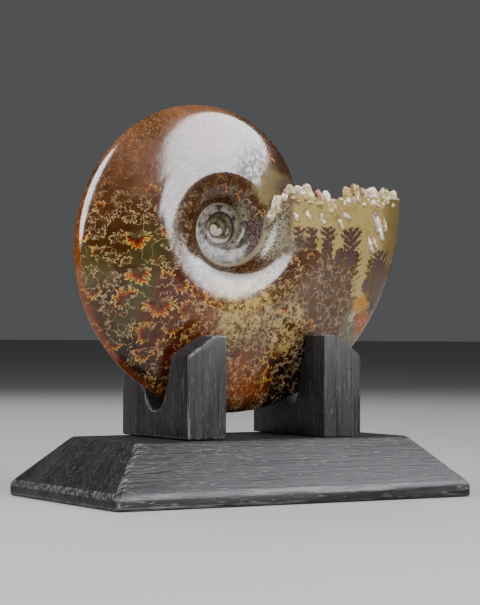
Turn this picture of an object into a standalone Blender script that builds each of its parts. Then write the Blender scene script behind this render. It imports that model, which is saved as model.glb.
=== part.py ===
"""A polished ammonite fossil resting in a dark wooden stand.

The stand is a low base with sloping sides and two upright cradles, each with
a rounded notch across its top. The shell is one spiral solid: whorls that
overlap, a sunken centre on both sides, and a broken end that shows rounded
calcite knobs.

Frame: metres, +Z up, the origin under the middle of the base. X runs along
the base, and -Y is the side the shell is seen from.
"""

import math
import random

import bmesh
import bpy
from mathutils import Matrix, Vector
from mathutils.geometry import delaunay_2d_cdt

MM = 0.001
TURN = 2.0 * math.pi

# Base: a block with a low upright lip and four sloping sides
BASE_LENGTH = 140 * MM
BASE_WIDTH = 81 * MM
BASE_HEIGHT = 21 * MM
LIP_HEIGHT = 4.8 * MM
SLOPE_RUN = 16 * MM
BASE_EDGE = 0.9 * MM

# Cradles: upright blocks with a notch through them along X
CRADLE_WIDTH = 15 * MM
CRADLE_DEPTH = 47 * MM
CRADLE_HEIGHT = 35 * MM
CRADLE_INNER_X = 19.5 * MM
CRADLE_EDGE = 0.7 * MM
SHOULDER_RUN = 10 * MM
SHOULDER_DROP = 7 * MM
SHOULDER_STEPS = 4
LEFT_SHOULDER_ROUND = 2.0 * MM
RIGHT_SHOULDER_ROUND = 5.0 * MM
NOTCH_FLOOR = 9.3 * MM
LEFT_NOTCH_HALF_WIDTH = 12.8 * MM
RIGHT_NOTCH_HALF_WIDTH = 11.4 * MM
NOTCH_POWER = 2.6
NOTCH_STEPS = 12
CUT_OVERSHOOT = 10 * MM
SEAT_GAP = 0.3 * MM

# Spiral: the radius of the shell's outer edge grows evenly with the angle
POLE = Vector((-12.17 * MM, 0.0, 93.1 * MM))
START_RADIUS = 35.02 * MM
GROWTH = 0.1275
OVAL_STRETCH = 0.0135
OVAL_TILT = math.radians(33.9)
THINNING = 0.80
STEPS_PER_TURN = 48
INNER_TURNS = 2.0

# Whorl section from the inner seam to the outer edge, as fractions of the whorl's radius
SEAM_REACH = 0.198
NEXT_SEAM_REACH = SEAM_REACH * math.exp(GROWTH * TURN)
FLANK_BULGE = 0.2246
SECTION = [
    (SEAM_REACH, FLANK_BULGE / (math.exp(GROWTH * TURN) * THINNING)),
    (0.215, 0.152),
    (0.240, 0.178),
    (0.280, 0.200),
    (0.345, 0.2185),
    (NEXT_SEAM_REACH, FLANK_BULGE),
    (0.530, 0.209),
    (0.630, 0.1785),
    (0.730, 0.144),
    (0.820, 0.110),
    (0.900, 0.0755),
    (0.955, 0.047),
    (0.988, 0.0225),
    (1.000, 0.0),
]
SEAM_STATION = 5
HOLE_SEARCH = 1.5
EDGE_STATION = len(SECTION) - 1

# Broken end: it leaves the seam, climbs, then runs level out to the edge, with one shallow dip
BREAK_ANGLE = math.radians(375)
BREAK_LEVEL = 11.8 * MM
DIP_DEPTH = 2.4 * MM
DIP_DISTANCE = 38 * MM
DIP_WIDTH = 6 * MM
BREAK_CLIMB = math.radians(2200)
BREAK_BLEND = math.radians(60)

# Calcite knobs along the rim of the broken end, in millimetres: distance from the pole, radius, height
FRONT_KNOBS = [
    (25.6, 1.8, 4.4),
    (28.8, 1.4, 3.4),
    (31.7, 1.6, 4.9),
    (35.0, 1.6, 4.1),
    (38.3, 1.6, 3.7),
    (49.0, 1.6, 4.1),
    (54.0, 2.0, 5.5),
    (57.8, 1.6, 3.6),
    (63.0, 2.7, 4.1),
    (68.0, 1.6, 3.2),
    (71.2, 1.4, 3.2),
    (75.4, 1.3, 3.6),
]
BACK_KNOBS = [
    (24.4, 1.5, 3.4),
    (28.0, 1.8, 4.3),
    (32.6, 1.5, 3.4),
    (37.0, 2.0, 4.0),
    (41.2, 1.5, 3.0),
    (45.5, 1.9, 4.3),
    (49.9, 1.5, 3.3),
    (53.5, 1.5, 3.8),
    (65.4, 1.9, 3.8),
    (69.4, 1.4, 3.0),
    (73.3, 1.3, 3.2),
]
RIM_MARGIN = 0.35 * MM

# Lower humps between the two rows of knobs, on a surface that sinks towards the middle
HUMP_PITCH = 6.0 * MM
HUMP_ROW_PITCH = HUMP_PITCH * math.sin(math.radians(60))
HUMP_JITTER = 0.9 * MM
HUMP_RADIUS = (2.2 * MM, 3.0 * MM)
HUMP_HEIGHT = (1.0 * MM, 2.2 * MM)
HUMP_SEED = 11
SINK_DEPTH = 2.4 * MM
SINK_RUN = 6.0 * MM

# A knob or hump is a top point and two rings, given as fractions of its radius and height
DOME_RINGS = ((0.58, 0.82), (0.97, 0.18))
DOME_SIDES = 6

MERGE_DISTANCE = 0.01 * MM
FILL_INSIDE_ONLY = 1

WOOD_COLOUR = (0.045, 0.044, 0.046, 1.0)
WOOD_ROUGHNESS = 0.5
SHELL_COLOUR = (0.22, 0.09, 0.035, 1.0)
SHELL_ROUGHNESS = 0.12


def clear_scene():
    """Remove every object that is already in the scene."""
    for item in list(bpy.data.objects):
        bpy.data.objects.remove(item, do_unlink=True)


def make_material(name, colour, roughness):
    """Return a Principled material with one colour."""
    material = bpy.data.materials.new(name)
    material.use_nodes = True
    shader = material.node_tree.nodes["Principled BSDF"]
    shader.inputs["Base Color"].default_value = colour
    shader.inputs["Roughness"].default_value = roughness
    shader.inputs["Metallic"].default_value = 0.0
    return material


def add_object(name, bm, material=None, smooth_angle=None):
    """Turn a bmesh into a named object and free it."""
    mesh = bpy.data.meshes.new(name)
    bm.to_mesh(mesh)
    bm.free()
    if material:
        mesh.materials.append(material)
    if smooth_angle is not None:
        mesh.shade_smooth()
        mesh.set_sharp_from_angle(angle=smooth_angle)
    item = bpy.data.objects.new(name, mesh)
    bpy.context.scene.collection.objects.link(item)
    return item


def add_cut(item, cutter):
    """Cut an object with a hidden helper."""
    cutter.hide_render = True
    cutter.display_type = "WIRE"
    modifier = item.modifiers.new("cut", "BOOLEAN")
    modifier.operation = "DIFFERENCE"
    modifier.solver = "EXACT"
    modifier.object = cutter


def add_edge_rounding(item, width):
    """Round an object's sharp edges a little."""
    modifier = item.modifiers.new("edges", "BEVEL")
    modifier.width = width
    modifier.segments = 2
    modifier.limit_method = "ANGLE"
    modifier.angle_limit = math.radians(32)


# Stand


def build_base(material):
    """Build the base: an upright lip with a tapering block on it."""
    bm = bmesh.new()
    bmesh.ops.create_cube(bm, size=1.0)
    bmesh.ops.scale(bm, vec=(BASE_LENGTH, BASE_WIDTH, LIP_HEIGHT), verts=bm.verts)
    bmesh.ops.translate(bm, vec=(0.0, 0.0, LIP_HEIGHT / 2), verts=bm.verts)
    top = [face for face in bm.faces if face.normal.z > 0.5]
    raised = bmesh.ops.extrude_face_region(bm, geom=top)["geom"]
    bmesh.ops.delete(bm, geom=top, context="FACES_ONLY")
    corners = [part for part in raised if isinstance(part, bmesh.types.BMVert)]
    taper = (1 - 2 * SLOPE_RUN / BASE_LENGTH, 1 - 2 * SLOPE_RUN / BASE_WIDTH, 1.0)
    bmesh.ops.scale(bm, vec=taper, verts=corners)
    bmesh.ops.translate(bm, vec=(0.0, 0.0, BASE_HEIGHT - LIP_HEIGHT), verts=corners)
    bmesh.ops.recalc_face_normals(bm, faces=bm.faces)
    base = add_object("stand_base", bm, material)
    add_edge_rounding(base, BASE_EDGE)
    return base


def extruded_outline(points, shift):
    """Return a bmesh of a flat outline pushed along a vector."""
    bm = bmesh.new()
    face = bm.faces.new([bm.verts.new(point) for point in points])
    pushed = bmesh.ops.extrude_face_region(bm, geom=[face])["geom"]
    moved = [part for part in pushed if isinstance(part, bmesh.types.BMVert)]
    bmesh.ops.translate(bm, vec=shift, verts=moved)
    bmesh.ops.recalc_face_normals(bm, faces=bm.faces)
    return bm


def notch_cutter(name, half_width):
    """Build the cutter for one notch: a deep rounded U pushed along X."""
    depth = CRADLE_HEIGHT - NOTCH_FLOOR
    floor = BASE_HEIGHT + SEAT_GAP + NOTCH_FLOOR
    points = [Vector((0.0, -half_width, floor + depth + CUT_OVERSHOOT))]
    for step in range(NOTCH_STEPS + 1):
        side = 2 * step / NOTCH_STEPS - 1
        points.append(Vector((0.0, half_width * side, floor + depth * abs(side) ** NOTCH_POWER)))
    points.append(Vector((0.0, half_width, floor + depth + CUT_OVERSHOOT)))
    return add_object(name, extruded_outline(points, Vector((CRADLE_WIDTH + 2 * CUT_OVERSHOOT, 0.0, 0.0))))


def shoulder_outline(round_radius):
    """List the X and Z of a cradle seen from the front, with its outer shoulder cut and rounded."""
    outer, top = CRADLE_WIDTH, CRADLE_HEIGHT
    slope = math.atan2(SHOULDER_DROP, SHOULDER_RUN)
    bend = math.pi / 2 - slope
    tangent = round_radius * math.tan(bend / 2)
    centre = (outer - round_radius, top - SHOULDER_DROP - tangent)
    points = [(0.0, 0.0), (outer, 0.0)]
    for step in range(SHOULDER_STEPS + 1):
        turn = bend * step / SHOULDER_STEPS
        across = centre[0] + round_radius * math.cos(turn)
        points.append((across, centre[1] + round_radius * math.sin(turn)))
    points += [(outer - SHOULDER_RUN, top), (0.0, top)]
    return points


def build_cradle(name, side, round_radius, half_width, material):
    """Build one cradle; side is -1 for the left one and 1 for the right one."""
    front = -CRADLE_DEPTH / 2
    floor = BASE_HEIGHT + SEAT_GAP
    outline = [
        Vector((side * (CRADLE_INNER_X + across), front, floor + up))
        for across, up in shoulder_outline(round_radius)
    ]
    block = extruded_outline(outline, Vector((0.0, CRADLE_DEPTH, 0.0)))
    cradle = add_object(name, block, material, smooth_angle=math.radians(30))
    cutter = notch_cutter(name + "_notch", half_width)
    middle = side * (CRADLE_INNER_X + CRADLE_WIDTH / 2)
    cutter.location.x = middle - CRADLE_WIDTH / 2 - CUT_OVERSHOOT
    add_cut(cradle, cutter)
    add_edge_rounding(cradle, CRADLE_EDGE)
    return cradle


# Shell


def section_bulge(reach):
    """Return the half thickness of the whorl at a reach, both as fractions of the radius."""
    for (reach_a, bulge_a), (reach_b, bulge_b) in zip(SECTION, SECTION[1:]):
        if reach <= reach_b:
            share = (reach - reach_a) / (reach_b - reach_a)
            return bulge_a + (bulge_b - bulge_a) * share
    return 0.0


def whorl_radius(angle):
    """Return the distance from the pole to the shell's edge at an angle."""
    return START_RADIUS * math.exp(GROWTH * angle)


def shell_point(angle, reach, bulge):
    """Return a point of the shell's front half, before mirroring."""
    radius = whorl_radius(angle)
    depth = bulge * radius * THINNING ** ((angle - BREAK_ANGLE) / TURN)
    flat = Vector((reach * radius * math.cos(angle), reach * radius * math.sin(angle)))
    turned = Matrix.Rotation(-OVAL_TILT, 2) @ flat
    turned.x *= 1 + OVAL_STRETCH
    turned.y *= 1 - OVAL_STRETCH
    flat = Matrix.Rotation(OVAL_TILT, 2) @ turned
    return POLE + Vector((flat.x, -depth, flat.y))


def break_angle(distance):
    """Return the angle of the broken end at a distance from the pole, within one turn."""
    height = BREAK_LEVEL - DIP_DEPTH * math.exp(-(((distance - DIP_DISTANCE) / DIP_WIDTH) ** 2))
    level = math.asin(min(1.0, height / distance))
    seam = SEAM_REACH * whorl_radius(BREAK_ANGLE)
    climb = BREAK_ANGLE - TURN + BREAK_CLIMB * (distance - seam)
    return min(level, climb)


def station_angle(row_angle, station):
    """Slide a station along its own spiral so that rows near the break follow its line."""
    reach = SECTION[station][0]
    first_full_row = BREAK_ANGLE - TURN
    from_start = (row_angle - first_full_row) / BREAK_BLEND
    to_end = (BREAK_ANGLE - row_angle) / BREAK_BLEND
    if to_end < 1.0:
        wanted = break_angle(reach * whorl_radius(BREAK_ANGLE)) + TURN
        return row_angle + (wanted - BREAK_ANGLE) * (1 - to_end) ** 2
    if station > SEAM_STATION and from_start < 1.0:
        wanted = break_angle(reach * whorl_radius(first_full_row))
        return row_angle + (wanted - first_full_row) * (1 - from_start) ** 2
    return row_angle


def place_station(vert, row_angle, station):
    """Move a vertex to its place on a row."""
    reach, bulge = SECTION[station]
    vert.co = shell_point(station_angle(row_angle, station), reach, bulge)


def extend_row(bm, row, row_angle, first, last):
    """Add the vertices and edges of stations first to last to a row."""
    for station in range(first, last + 1):
        vert = bm.verts.new()
        vert[bm.verts.layers.int["station"]] = station
        place_station(vert, row_angle, station)
        row["verts"].append(vert)
        if len(row["verts"]) > 1:
            row["edges"].append(bm.edges.new(row["verts"][-2:]))


def grow_row(bm, row, row_angle):
    """Extrude a row into the next one."""
    layer = bm.verts.layers.int["station"]
    grown = bmesh.ops.extrude_edge_only(bm, edges=row["edges"])["geom"]
    verts = [part for part in grown if isinstance(part, bmesh.types.BMVert)]
    verts.sort(key=lambda vert: vert[layer])
    edges = [part for part in grown if isinstance(part, bmesh.types.BMEdge)]
    edges = [edge for edge in edges if all(vert in verts for vert in edge.verts)]
    for vert in verts:
        place_station(vert, row_angle, vert[layer])
    return {"verts": verts, "edges": edges}


def grow_half_shell(bm):
    """Grow the front half of the shell, from its centre to the broken end."""
    bm.verts.layers.int.new("station")
    step = TURN / STEPS_PER_TURN
    inner_rows = round(INNER_TURNS * STEPS_PER_TURN)
    row = {"verts": [], "edges": []}
    first_angle = BREAK_ANGLE - TURN - inner_rows * step
    extend_row(bm, row, first_angle, 0, SEAM_STATION)
    for count in range(1, inner_rows + 1):
        row = grow_row(bm, row, first_angle + count * step)
    extend_row(bm, row, BREAK_ANGLE - TURN, SEAM_STATION + 1, EDGE_STATION)
    for count in range(1, STEPS_PER_TURN + 1):
        row = grow_row(bm, row, BREAK_ANGLE - TURN + count * step)
    bmesh.ops.remove_doubles(bm, verts=bm.verts, dist=MERGE_DISTANCE)


def flat_place(place):
    """Give a point's distance from the pole and its place across the shell."""
    return Vector((math.hypot(place.x - POLE.x, place.z - POLE.z), place.y))


def open_edges(bm, wanted):
    """List the open edges whose two ends meet a test."""
    return [edge for edge in bm.edges if edge.is_boundary and all(wanted(vert.co) for vert in edge.verts)]


def close_centre(bm):
    """Close the small hole at the pole with a low dome."""
    hole_reach = SEAM_REACH * whorl_radius(BREAK_ANGLE - TURN * INNER_TURNS)
    rim = open_edges(bm, lambda place: flat_place(place).x < HOLE_SEARCH * hole_reach)
    patch = bmesh.ops.contextual_create(bm, geom=rim)["faces"]
    bmesh.ops.poke(bm, faces=patch)


def add_other_half(bm):
    """Mirror the front half to the back and join them along the outer edge."""
    copy = bmesh.ops.duplicate(bm, geom=bm.verts[:] + bm.edges[:] + bm.faces[:])["geom"]
    verts = [part for part in copy if isinstance(part, bmesh.types.BMVert)]
    faces = [part for part in copy if isinstance(part, bmesh.types.BMFace)]
    bmesh.ops.scale(bm, vec=(1.0, -1.0, 1.0), verts=verts)
    bmesh.ops.reverse_faces(bm, faces=faces)
    bmesh.ops.remove_doubles(bm, verts=bm.verts, dist=MERGE_DISTANCE)


def raised_place(distance, across, height):
    """Return the point of the broken end at a flat place, raised along the spiral."""
    angle = break_angle(distance)
    place = shell_point(angle, distance / whorl_radius(angle), 0.0)
    return Vector((place.x - height * math.sin(angle), across, place.z + height * math.cos(angle)))


def rim_half_width(distance):
    """Return how far the flank at the broken end stands from the middle plane."""
    angle = break_angle(distance) + TURN
    reach = distance / whorl_radius(angle)
    return -shell_point(angle, reach, section_bulge(reach)).y


def outline_gap(place, outline):
    """Return how far inside an outline a flat place lies, which is zero for a place outside it."""
    inside = False
    nearest = math.inf
    for start, end in zip(outline, outline[1:] + outline[:1]):
        side = end - start
        share = max(0.0, min(1.0, (place - start).dot(side) / side.length_squared))
        nearest = min(nearest, (start + side * share - place).length)
        if (start.y > place.y) != (end.y > place.y):
            crossing = start.x + side.x * (place.y - start.y) / side.y
            inside = inside != (place.x < crossing)
    return nearest if inside else 0.0


def rim_domes():
    """List the knobs along the two flanks as flat place, radius and height."""
    domes = []
    for side, knobs in ((-1, FRONT_KNOBS), (1, BACK_KNOBS)):
        for distance, radius, height in knobs:
            across = rim_half_width(distance * MM) - radius * MM - RIM_MARGIN
            domes.append((Vector((distance * MM, side * across)), radius * MM, height * MM))
    return domes


def inner_domes(outline, taken):
    """List the humps that fit inside the outline of the broken end, clear of the domes in place."""
    chance = random.Random(HUMP_SEED)
    reach = max(place.x for place in outline)
    half = max(place.y for place in outline)
    columns = round(half / HUMP_PITCH) + 1
    domes = []
    for row in range(round(reach / HUMP_ROW_PITCH)):
        for column in range(-columns, columns + 1):
            centre = Vector((row * HUMP_ROW_PITCH, (column + 0.5 * (row % 2)) * HUMP_PITCH))
            centre += Vector((chance.uniform(-1, 1), chance.uniform(-1, 1))) * HUMP_JITTER
            radius = chance.uniform(*HUMP_RADIUS)
            height = chance.uniform(*HUMP_HEIGHT)
            room = [(centre - place).length - width for place, width, tall in taken]
            if min(room + [outline_gap(centre, outline)]) >= radius:
                domes.append((centre, radius, height))
    return domes


def crust_points(outline):
    """List the flat places and heights of the points of every knob and hump."""
    knobs = rim_domes()
    points = []
    for centre, radius, height in knobs + inner_domes(outline, knobs):
        points.append((centre, height))
        for ring, (spread, rise) in enumerate(DOME_RINGS):
            for side in range(DOME_SIDES):
                turn = TURN * (side + ring / 2) / DOME_SIDES
                shift = Vector((math.cos(turn), math.sin(turn))) * radius * spread
                points.append((centre + shift, height * rise))
    return points


def sink(gap):
    """Return how far the broken end lies below its flanks at a distance inside its outline."""
    return SINK_DEPTH * math.sin(min(1.0, gap / SINK_RUN) * math.pi / 2)


def walk_rim(bm):
    """List the vertices of the open rim in order."""
    rim = [edge for edge in bm.edges if edge.is_boundary]
    corners = [rim[0].verts[0]]
    edge = rim[0]
    while len(corners) < len(rim):
        corners.append(edge.other_vert(corners[-1]))
        edge = next(near for near in corners[-1].link_edges if near.is_boundary and near is not edge)
    return corners


def close_break(bm):
    """Close the broken end with a crust of knobs between the outer flanks and the whorl inside."""
    rim = walk_rim(bm)
    outline = [flat_place(corner.co) for corner in rim]
    crust = crust_points(outline)
    places = outline + [place for place, height in crust]
    sides = [(index, (index + 1) % len(rim)) for index in range(len(rim))]
    found = delaunay_2d_cdt(places, sides, [], FILL_INSIDE_ONLY, MERGE_DISTANCE)
    found_faces, sources = found[2], found[3]
    corners = []
    for source in sources:
        first = source[0]
        if first < len(rim):
            corners.append(rim[first])
            continue
        place, height = crust[first - len(rim)]
        height -= sink(outline_gap(place, outline))
        corners.append(bm.verts.new(raised_place(place.x, place.y, height)))
    for face in found_faces:
        bm.faces.new([corners[index] for index in face])


def build_ammonite(material):
    """Build the whole shell as one solid."""
    bm = bmesh.new()
    grow_half_shell(bm)
    close_centre(bm)
    add_other_half(bm)
    close_break(bm)
    bmesh.ops.recalc_face_normals(bm, faces=bm.faces)
    return add_object("ammonite", bm, material, smooth_angle=math.radians(40))


def main():
    """Build the stand and the shell."""
    clear_scene()
    wood = make_material("dark_wood", WOOD_COLOUR, WOOD_ROUGHNESS)
    shell = make_material("polished_shell", SHELL_COLOUR, SHELL_ROUGHNESS)
    build_base(wood)
    build_cradle("cradle_left", -1, LEFT_SHOULDER_ROUND, LEFT_NOTCH_HALF_WIDTH, wood)
    build_cradle("cradle_right", 1, RIGHT_SHOULDER_ROUND, RIGHT_NOTCH_HALF_WIDTH, wood)
    build_ammonite(shell)


main()
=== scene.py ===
"""Looks of a polished ammonite resting in a dark wooden stand.

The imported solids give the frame. This script builds finer meshes in their
places: the shell with its sunken centre and its calcite crust, the base, and
the two notched cradles. It then gives each one its finish and sets up a pale
studio with the camera.

Frame: metres, +Z up, the origin under the middle of the base. X runs along
the base, and -Y is the side the shell is seen from.
"""

import logging
import math
import random
from collections.abc import Callable, Sequence
from dataclasses import dataclass, field
from enum import Enum
from functools import reduce
from itertools import pairwise
from typing import ClassVar

import bmesh
import bpy
from mathutils import Matrix, Vector, kdtree, noise


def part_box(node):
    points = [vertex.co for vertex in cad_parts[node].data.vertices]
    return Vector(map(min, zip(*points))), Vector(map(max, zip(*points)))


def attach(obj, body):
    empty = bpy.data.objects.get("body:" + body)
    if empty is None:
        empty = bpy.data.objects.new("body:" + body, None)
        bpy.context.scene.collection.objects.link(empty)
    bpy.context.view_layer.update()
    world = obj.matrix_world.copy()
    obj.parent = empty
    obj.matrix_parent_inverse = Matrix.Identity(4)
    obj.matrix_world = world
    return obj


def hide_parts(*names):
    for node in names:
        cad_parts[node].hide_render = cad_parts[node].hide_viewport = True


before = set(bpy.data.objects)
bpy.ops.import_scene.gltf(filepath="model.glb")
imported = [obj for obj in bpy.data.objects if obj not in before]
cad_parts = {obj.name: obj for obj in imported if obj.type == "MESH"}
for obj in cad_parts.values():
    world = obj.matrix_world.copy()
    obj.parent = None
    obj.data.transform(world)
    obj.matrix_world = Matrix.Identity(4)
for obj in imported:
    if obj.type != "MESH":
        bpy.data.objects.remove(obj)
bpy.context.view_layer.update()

MM = 0.001
TURN = 2.0 * math.pi
MERGE_DISTANCE = 0.004 * MM
LOG = logging.getLogger("ammonite_scene")

Colour = tuple[float, float, float]
Area = tuple[float, float, float]
Socket = bpy.types.NodeSocket


def srgb(red: int, green: int, blue: int) -> Colour:
    """Return a scene-linear colour.

    Args:
        red: Red as seen on a screen, 0 to 255.
        green: Green, the same way.
        blue: Blue, the same way.

    Returns:
        The three linear channels.
    """
    channels = []
    for level in (red, green, blue):
        share = level / 255
        channels.append(share / 12.92 if share <= 0.04045 else ((share + 0.055) / 1.055) ** 2.4)
    return tuple(channels)


class Flank(Enum):
    """The two sides of the shell, by the sign of Y."""

    FRONT = -1
    BACK = 1


class Grain(Enum):
    """The axis that the wood's fibres run along."""

    LENGTHWISE = 0
    UPRIGHT = 2


# Meshes


def make_object(name: str, bm: bmesh.types.BMesh, smooth_angle: float) -> bpy.types.Object:
    """Turn a bmesh into a linked, smooth-shaded object.

    Args:
        name: The object's name.
        bm: The mesh, which is freed.
        smooth_angle: Edges sharper than this stay sharp, in radians.

    Returns:
        The new object, at the origin.
    """
    mesh = bpy.data.meshes.new(name)
    bm.to_mesh(mesh)
    bm.free()
    mesh.shade_smooth()
    mesh.set_sharp_from_angle(angle=smooth_angle)
    item = bpy.data.objects.new(name, mesh)
    bpy.context.scene.collection.objects.link(item)
    return item


def new_parts(result: dict, kind: type) -> list:
    """List the parts of one kind that a bmesh operator made.

    Args:
        result: What the operator returned.
        kind: BMVert, BMEdge or BMFace.

    Returns:
        The parts of that kind.
    """
    return [part for part in result["geom"] if isinstance(part, kind)]


def round_edges(bm: bmesh.types.BMesh, edges: Sequence, width: float, segments: int) -> list:
    """Bevel edges into arcs.

    Args:
        bm: The mesh.
        edges: The edges to round.
        width: How far the arc reaches from each edge, in metres.
        segments: The number of faces across the arc.

    Returns:
        The new faces.
    """
    result = bmesh.ops.bevel(
        bm,
        geom=list(edges),
        offset=width,
        offset_type="OFFSET",
        segments=segments,
        profile=0.5,
        affect="EDGES",
        clamp_overlap=True,
        material=-1,
    )
    return result["faces"]


def sharp_edges(bm: bmesh.types.BMesh, angle: float) -> list:
    """List the edges whose faces meet at more than an angle in radians."""
    return [edge for edge in bm.edges if edge.is_manifold and edge.calc_face_angle() > angle]


def mark_wear_and_sheen(bm: bmesh.types.BMesh, faces: Sequence) -> None:
    """Paint rounded faces into the attribute that marks edge wear and a painted sheen.

    Args:
        bm: The mesh.
        faces: The rounded faces along its edges, which get the wear and the painted sheen.
    """
    layer = bm.loops.layers.float_color.new("wear_and_sheen")
    worn_and_lit = set(faces)
    for face in bm.faces:
        share = 1.0 if face in worn_and_lit else 0.0
        for loop in face.loops:
            loop[layer] = (share, share, share, 1.0)


# Stand


@dataclass
class StandBase:
    """The low base: an upright lip with four slopes that rise to a flat top."""

    node: str = "stand_base"
    lip_height: float = 4.8 * MM
    slope_run: float = 16 * MM
    lip_round: float = 1.3 * MM
    ridge_round: float = 0.8 * MM
    arc_faces: int = 5

    def build(self) -> bpy.types.Object:
        """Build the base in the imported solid's box.

        Returns:
            The base object.
        """
        low, high = (Vector(corner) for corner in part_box(self.node))
        size = high - low
        bm = bmesh.new()
        bmesh.ops.create_cube(bm, size=1.0)
        bmesh.ops.scale(bm, vec=(size.x, size.y, self.lip_height), verts=bm.verts)
        bmesh.ops.translate(bm, vec=(0.0, 0.0, low.z + self.lip_height / 2), verts=bm.verts)
        top = [face for face in bm.faces if face.normal.z > 0.5]
        raised = bmesh.ops.extrude_face_region(bm, geom=top)
        bmesh.ops.delete(bm, geom=top, context="FACES_ONLY")
        corners = new_parts(raised, bmesh.types.BMVert)
        taper = (1 - 2 * self.slope_run / size.x, 1 - 2 * self.slope_run / size.y, 1.0)
        bmesh.ops.scale(bm, vec=taper, verts=corners)
        bmesh.ops.translate(bm, vec=(0.0, 0.0, size.z - self.lip_height), verts=corners)
        bmesh.ops.recalc_face_normals(bm, faces=bm.faces)
        ridges = [edge for edge in bm.edges if min(v.co.z for v in edge.verts) > low.z + size.z / 2]
        worn_and_lit = round_edges(bm, ridges, self.ridge_round, self.arc_faces)
        lip = [edge for edge in sharp_edges(bm, math.radians(25)) if edge.verts[0] not in corners]
        worn_and_lit += round_edges(bm, lip, self.lip_round, self.arc_faces)
        worn_and_lit = [face for face in worn_and_lit if face.is_valid]
        # The rounded faces get pale wear and a painted sheen in the wood's material.
        mark_wear_and_sheen(bm, worn_and_lit)
        return make_object("base_board", bm, math.radians(30))


@dataclass
class Cradle:
    """One upright block with a rounded notch through it along X."""

    name: str
    node: str
    side: int
    shoulder_round: float
    notch_half_width: float
    notch_floor: float = 9.3 * MM
    notch_power: float = 2.6
    notch_steps: int = 40
    shoulder_run: float = 10 * MM
    shoulder_drop: float = 7 * MM
    edge_round: float = 0.8 * MM

    def notch_outline(self, low: Vector, high: Vector) -> list[Vector]:
        """List the corners of the block seen along X, with the notch across its top.

        Args:
            low: The block's lowest corner.
            high: Its highest corner.

        Returns:
            The corners in order, on the block's inner face.
        """
        inner = low.x if self.side > 0 else high.x
        depth = high.z - low.z - self.notch_floor
        points = [
            Vector((inner, high.y, low.z)),
            Vector((inner, low.y, low.z)),
            Vector((inner, low.y, high.z)),
        ]
        for step in range(self.notch_steps + 1):
            share = 2 * step / self.notch_steps - 1
            lift = self.notch_floor + depth * abs(share) ** self.notch_power
            points.append(Vector((inner, self.notch_half_width * share, low.z + lift)))
        points.append(Vector((inner, high.y, high.z)))
        return points

    def cut_shoulder(self, bm: bmesh.types.BMesh, low: Vector, high: Vector) -> None:
        """Slope the outer top of the block and round the bend.

        Args:
            bm: The block.
            low: Its lowest corner.
            high: Its highest corner.
        """
        outer = high.x if self.side > 0 else low.x
        start = Vector((outer - self.side * self.shoulder_run, 0.0, high.z))
        slope = Vector((self.side * self.shoulder_drop, 0.0, self.shoulder_run)).normalized()
        everything = bm.verts[:] + bm.edges[:] + bm.faces[:]
        cut = bmesh.ops.bisect_plane(
            bm, geom=everything, plane_co=start, plane_no=slope, clear_outer=True, dist=MERGE_DISTANCE
        )
        rims = [part for part in cut["geom_cut"] if isinstance(part, bmesh.types.BMEdge)]
        bmesh.ops.edgeloop_fill(bm, edges=rims)
        bmesh.ops.recalc_face_normals(bm, faces=bm.faces)
        shoulder = high.z - self.shoulder_drop
        bends = [
            edge
            for edge in bm.edges
            if all(abs(v.co.x - outer) < MM / 10 and abs(v.co.z - shoulder) < MM / 10 for v in edge.verts)
        ]
        turn = math.pi / 2 - math.atan2(self.shoulder_drop, self.shoulder_run)
        round_edges(bm, bends, self.shoulder_round * math.tan(turn / 2), 8)

    def build(self) -> bpy.types.Object:
        """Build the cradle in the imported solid's box.

        Returns:
            The cradle object.
        """
        low, high = (Vector(corner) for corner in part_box(self.node))
        bm = bmesh.new()
        face = bm.faces.new([bm.verts.new(point) for point in self.notch_outline(low, high)])
        pushed = bmesh.ops.extrude_face_region(bm, geom=[face])
        shift = Vector((self.side * (high.x - low.x), 0.0, 0.0))
        bmesh.ops.translate(bm, vec=shift, verts=new_parts(pushed, bmesh.types.BMVert))
        bmesh.ops.recalc_face_normals(bm, faces=bm.faces)
        self.cut_shoulder(bm, low, high)
        worn_and_lit = round_edges(bm, sharp_edges(bm, math.radians(32)), self.edge_round, 4)
        # The rounded faces get pale wear and a painted sheen in the wood's material.
        mark_wear_and_sheen(bm, [face for face in worn_and_lit if face.is_valid])
        return make_object(self.name, bm, math.radians(30))


# Shell


@dataclass(frozen=True)
class Spiral:
    """The path of the shell's outer edge, whose radius grows evenly with the angle."""

    pole: Vector = field(default_factory=lambda: Vector((-12.17 * MM, 0.0, 93.1 * MM)))
    start_radius: float = 35.0 * MM
    growth: float = 0.1275
    oval_stretch: float = 0.0135
    oval_tilt: float = math.radians(33.9)
    thinning: float = 0.80
    end_angle: float = math.radians(375)

    def radius(self, angle: float) -> float:
        """Return the distance from the pole to the shell's edge at an angle."""
        return self.start_radius * math.exp(self.growth * angle)

    def half_depth(self, angle: float, bulge: float) -> float:
        """Return the half thickness in metres for a bulge given as a fraction of the radius."""
        return bulge * self.radius(angle) * self.thinning ** ((angle - self.end_angle) / TURN)

    def place(self, angle: float, reach: float, depth: float) -> Vector:
        """Return a point of the shell.

        Args:
            angle: The angle round the pole, in radians.
            reach: The distance from the pole as a fraction of the edge's radius.
            depth: How far the point lies from the middle plane, towards the viewer.

        Returns:
            The point.
        """
        distance = reach * self.radius(angle)
        turned = Matrix.Rotation(-self.oval_tilt, 2) @ Vector((math.cos(angle), math.sin(angle)))
        turned.x *= 1 + self.oval_stretch
        turned.y *= 1 - self.oval_stretch
        flat = Matrix.Rotation(self.oval_tilt, 2) @ turned * distance
        return self.pole + Vector((flat.x, -depth, flat.y))


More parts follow.
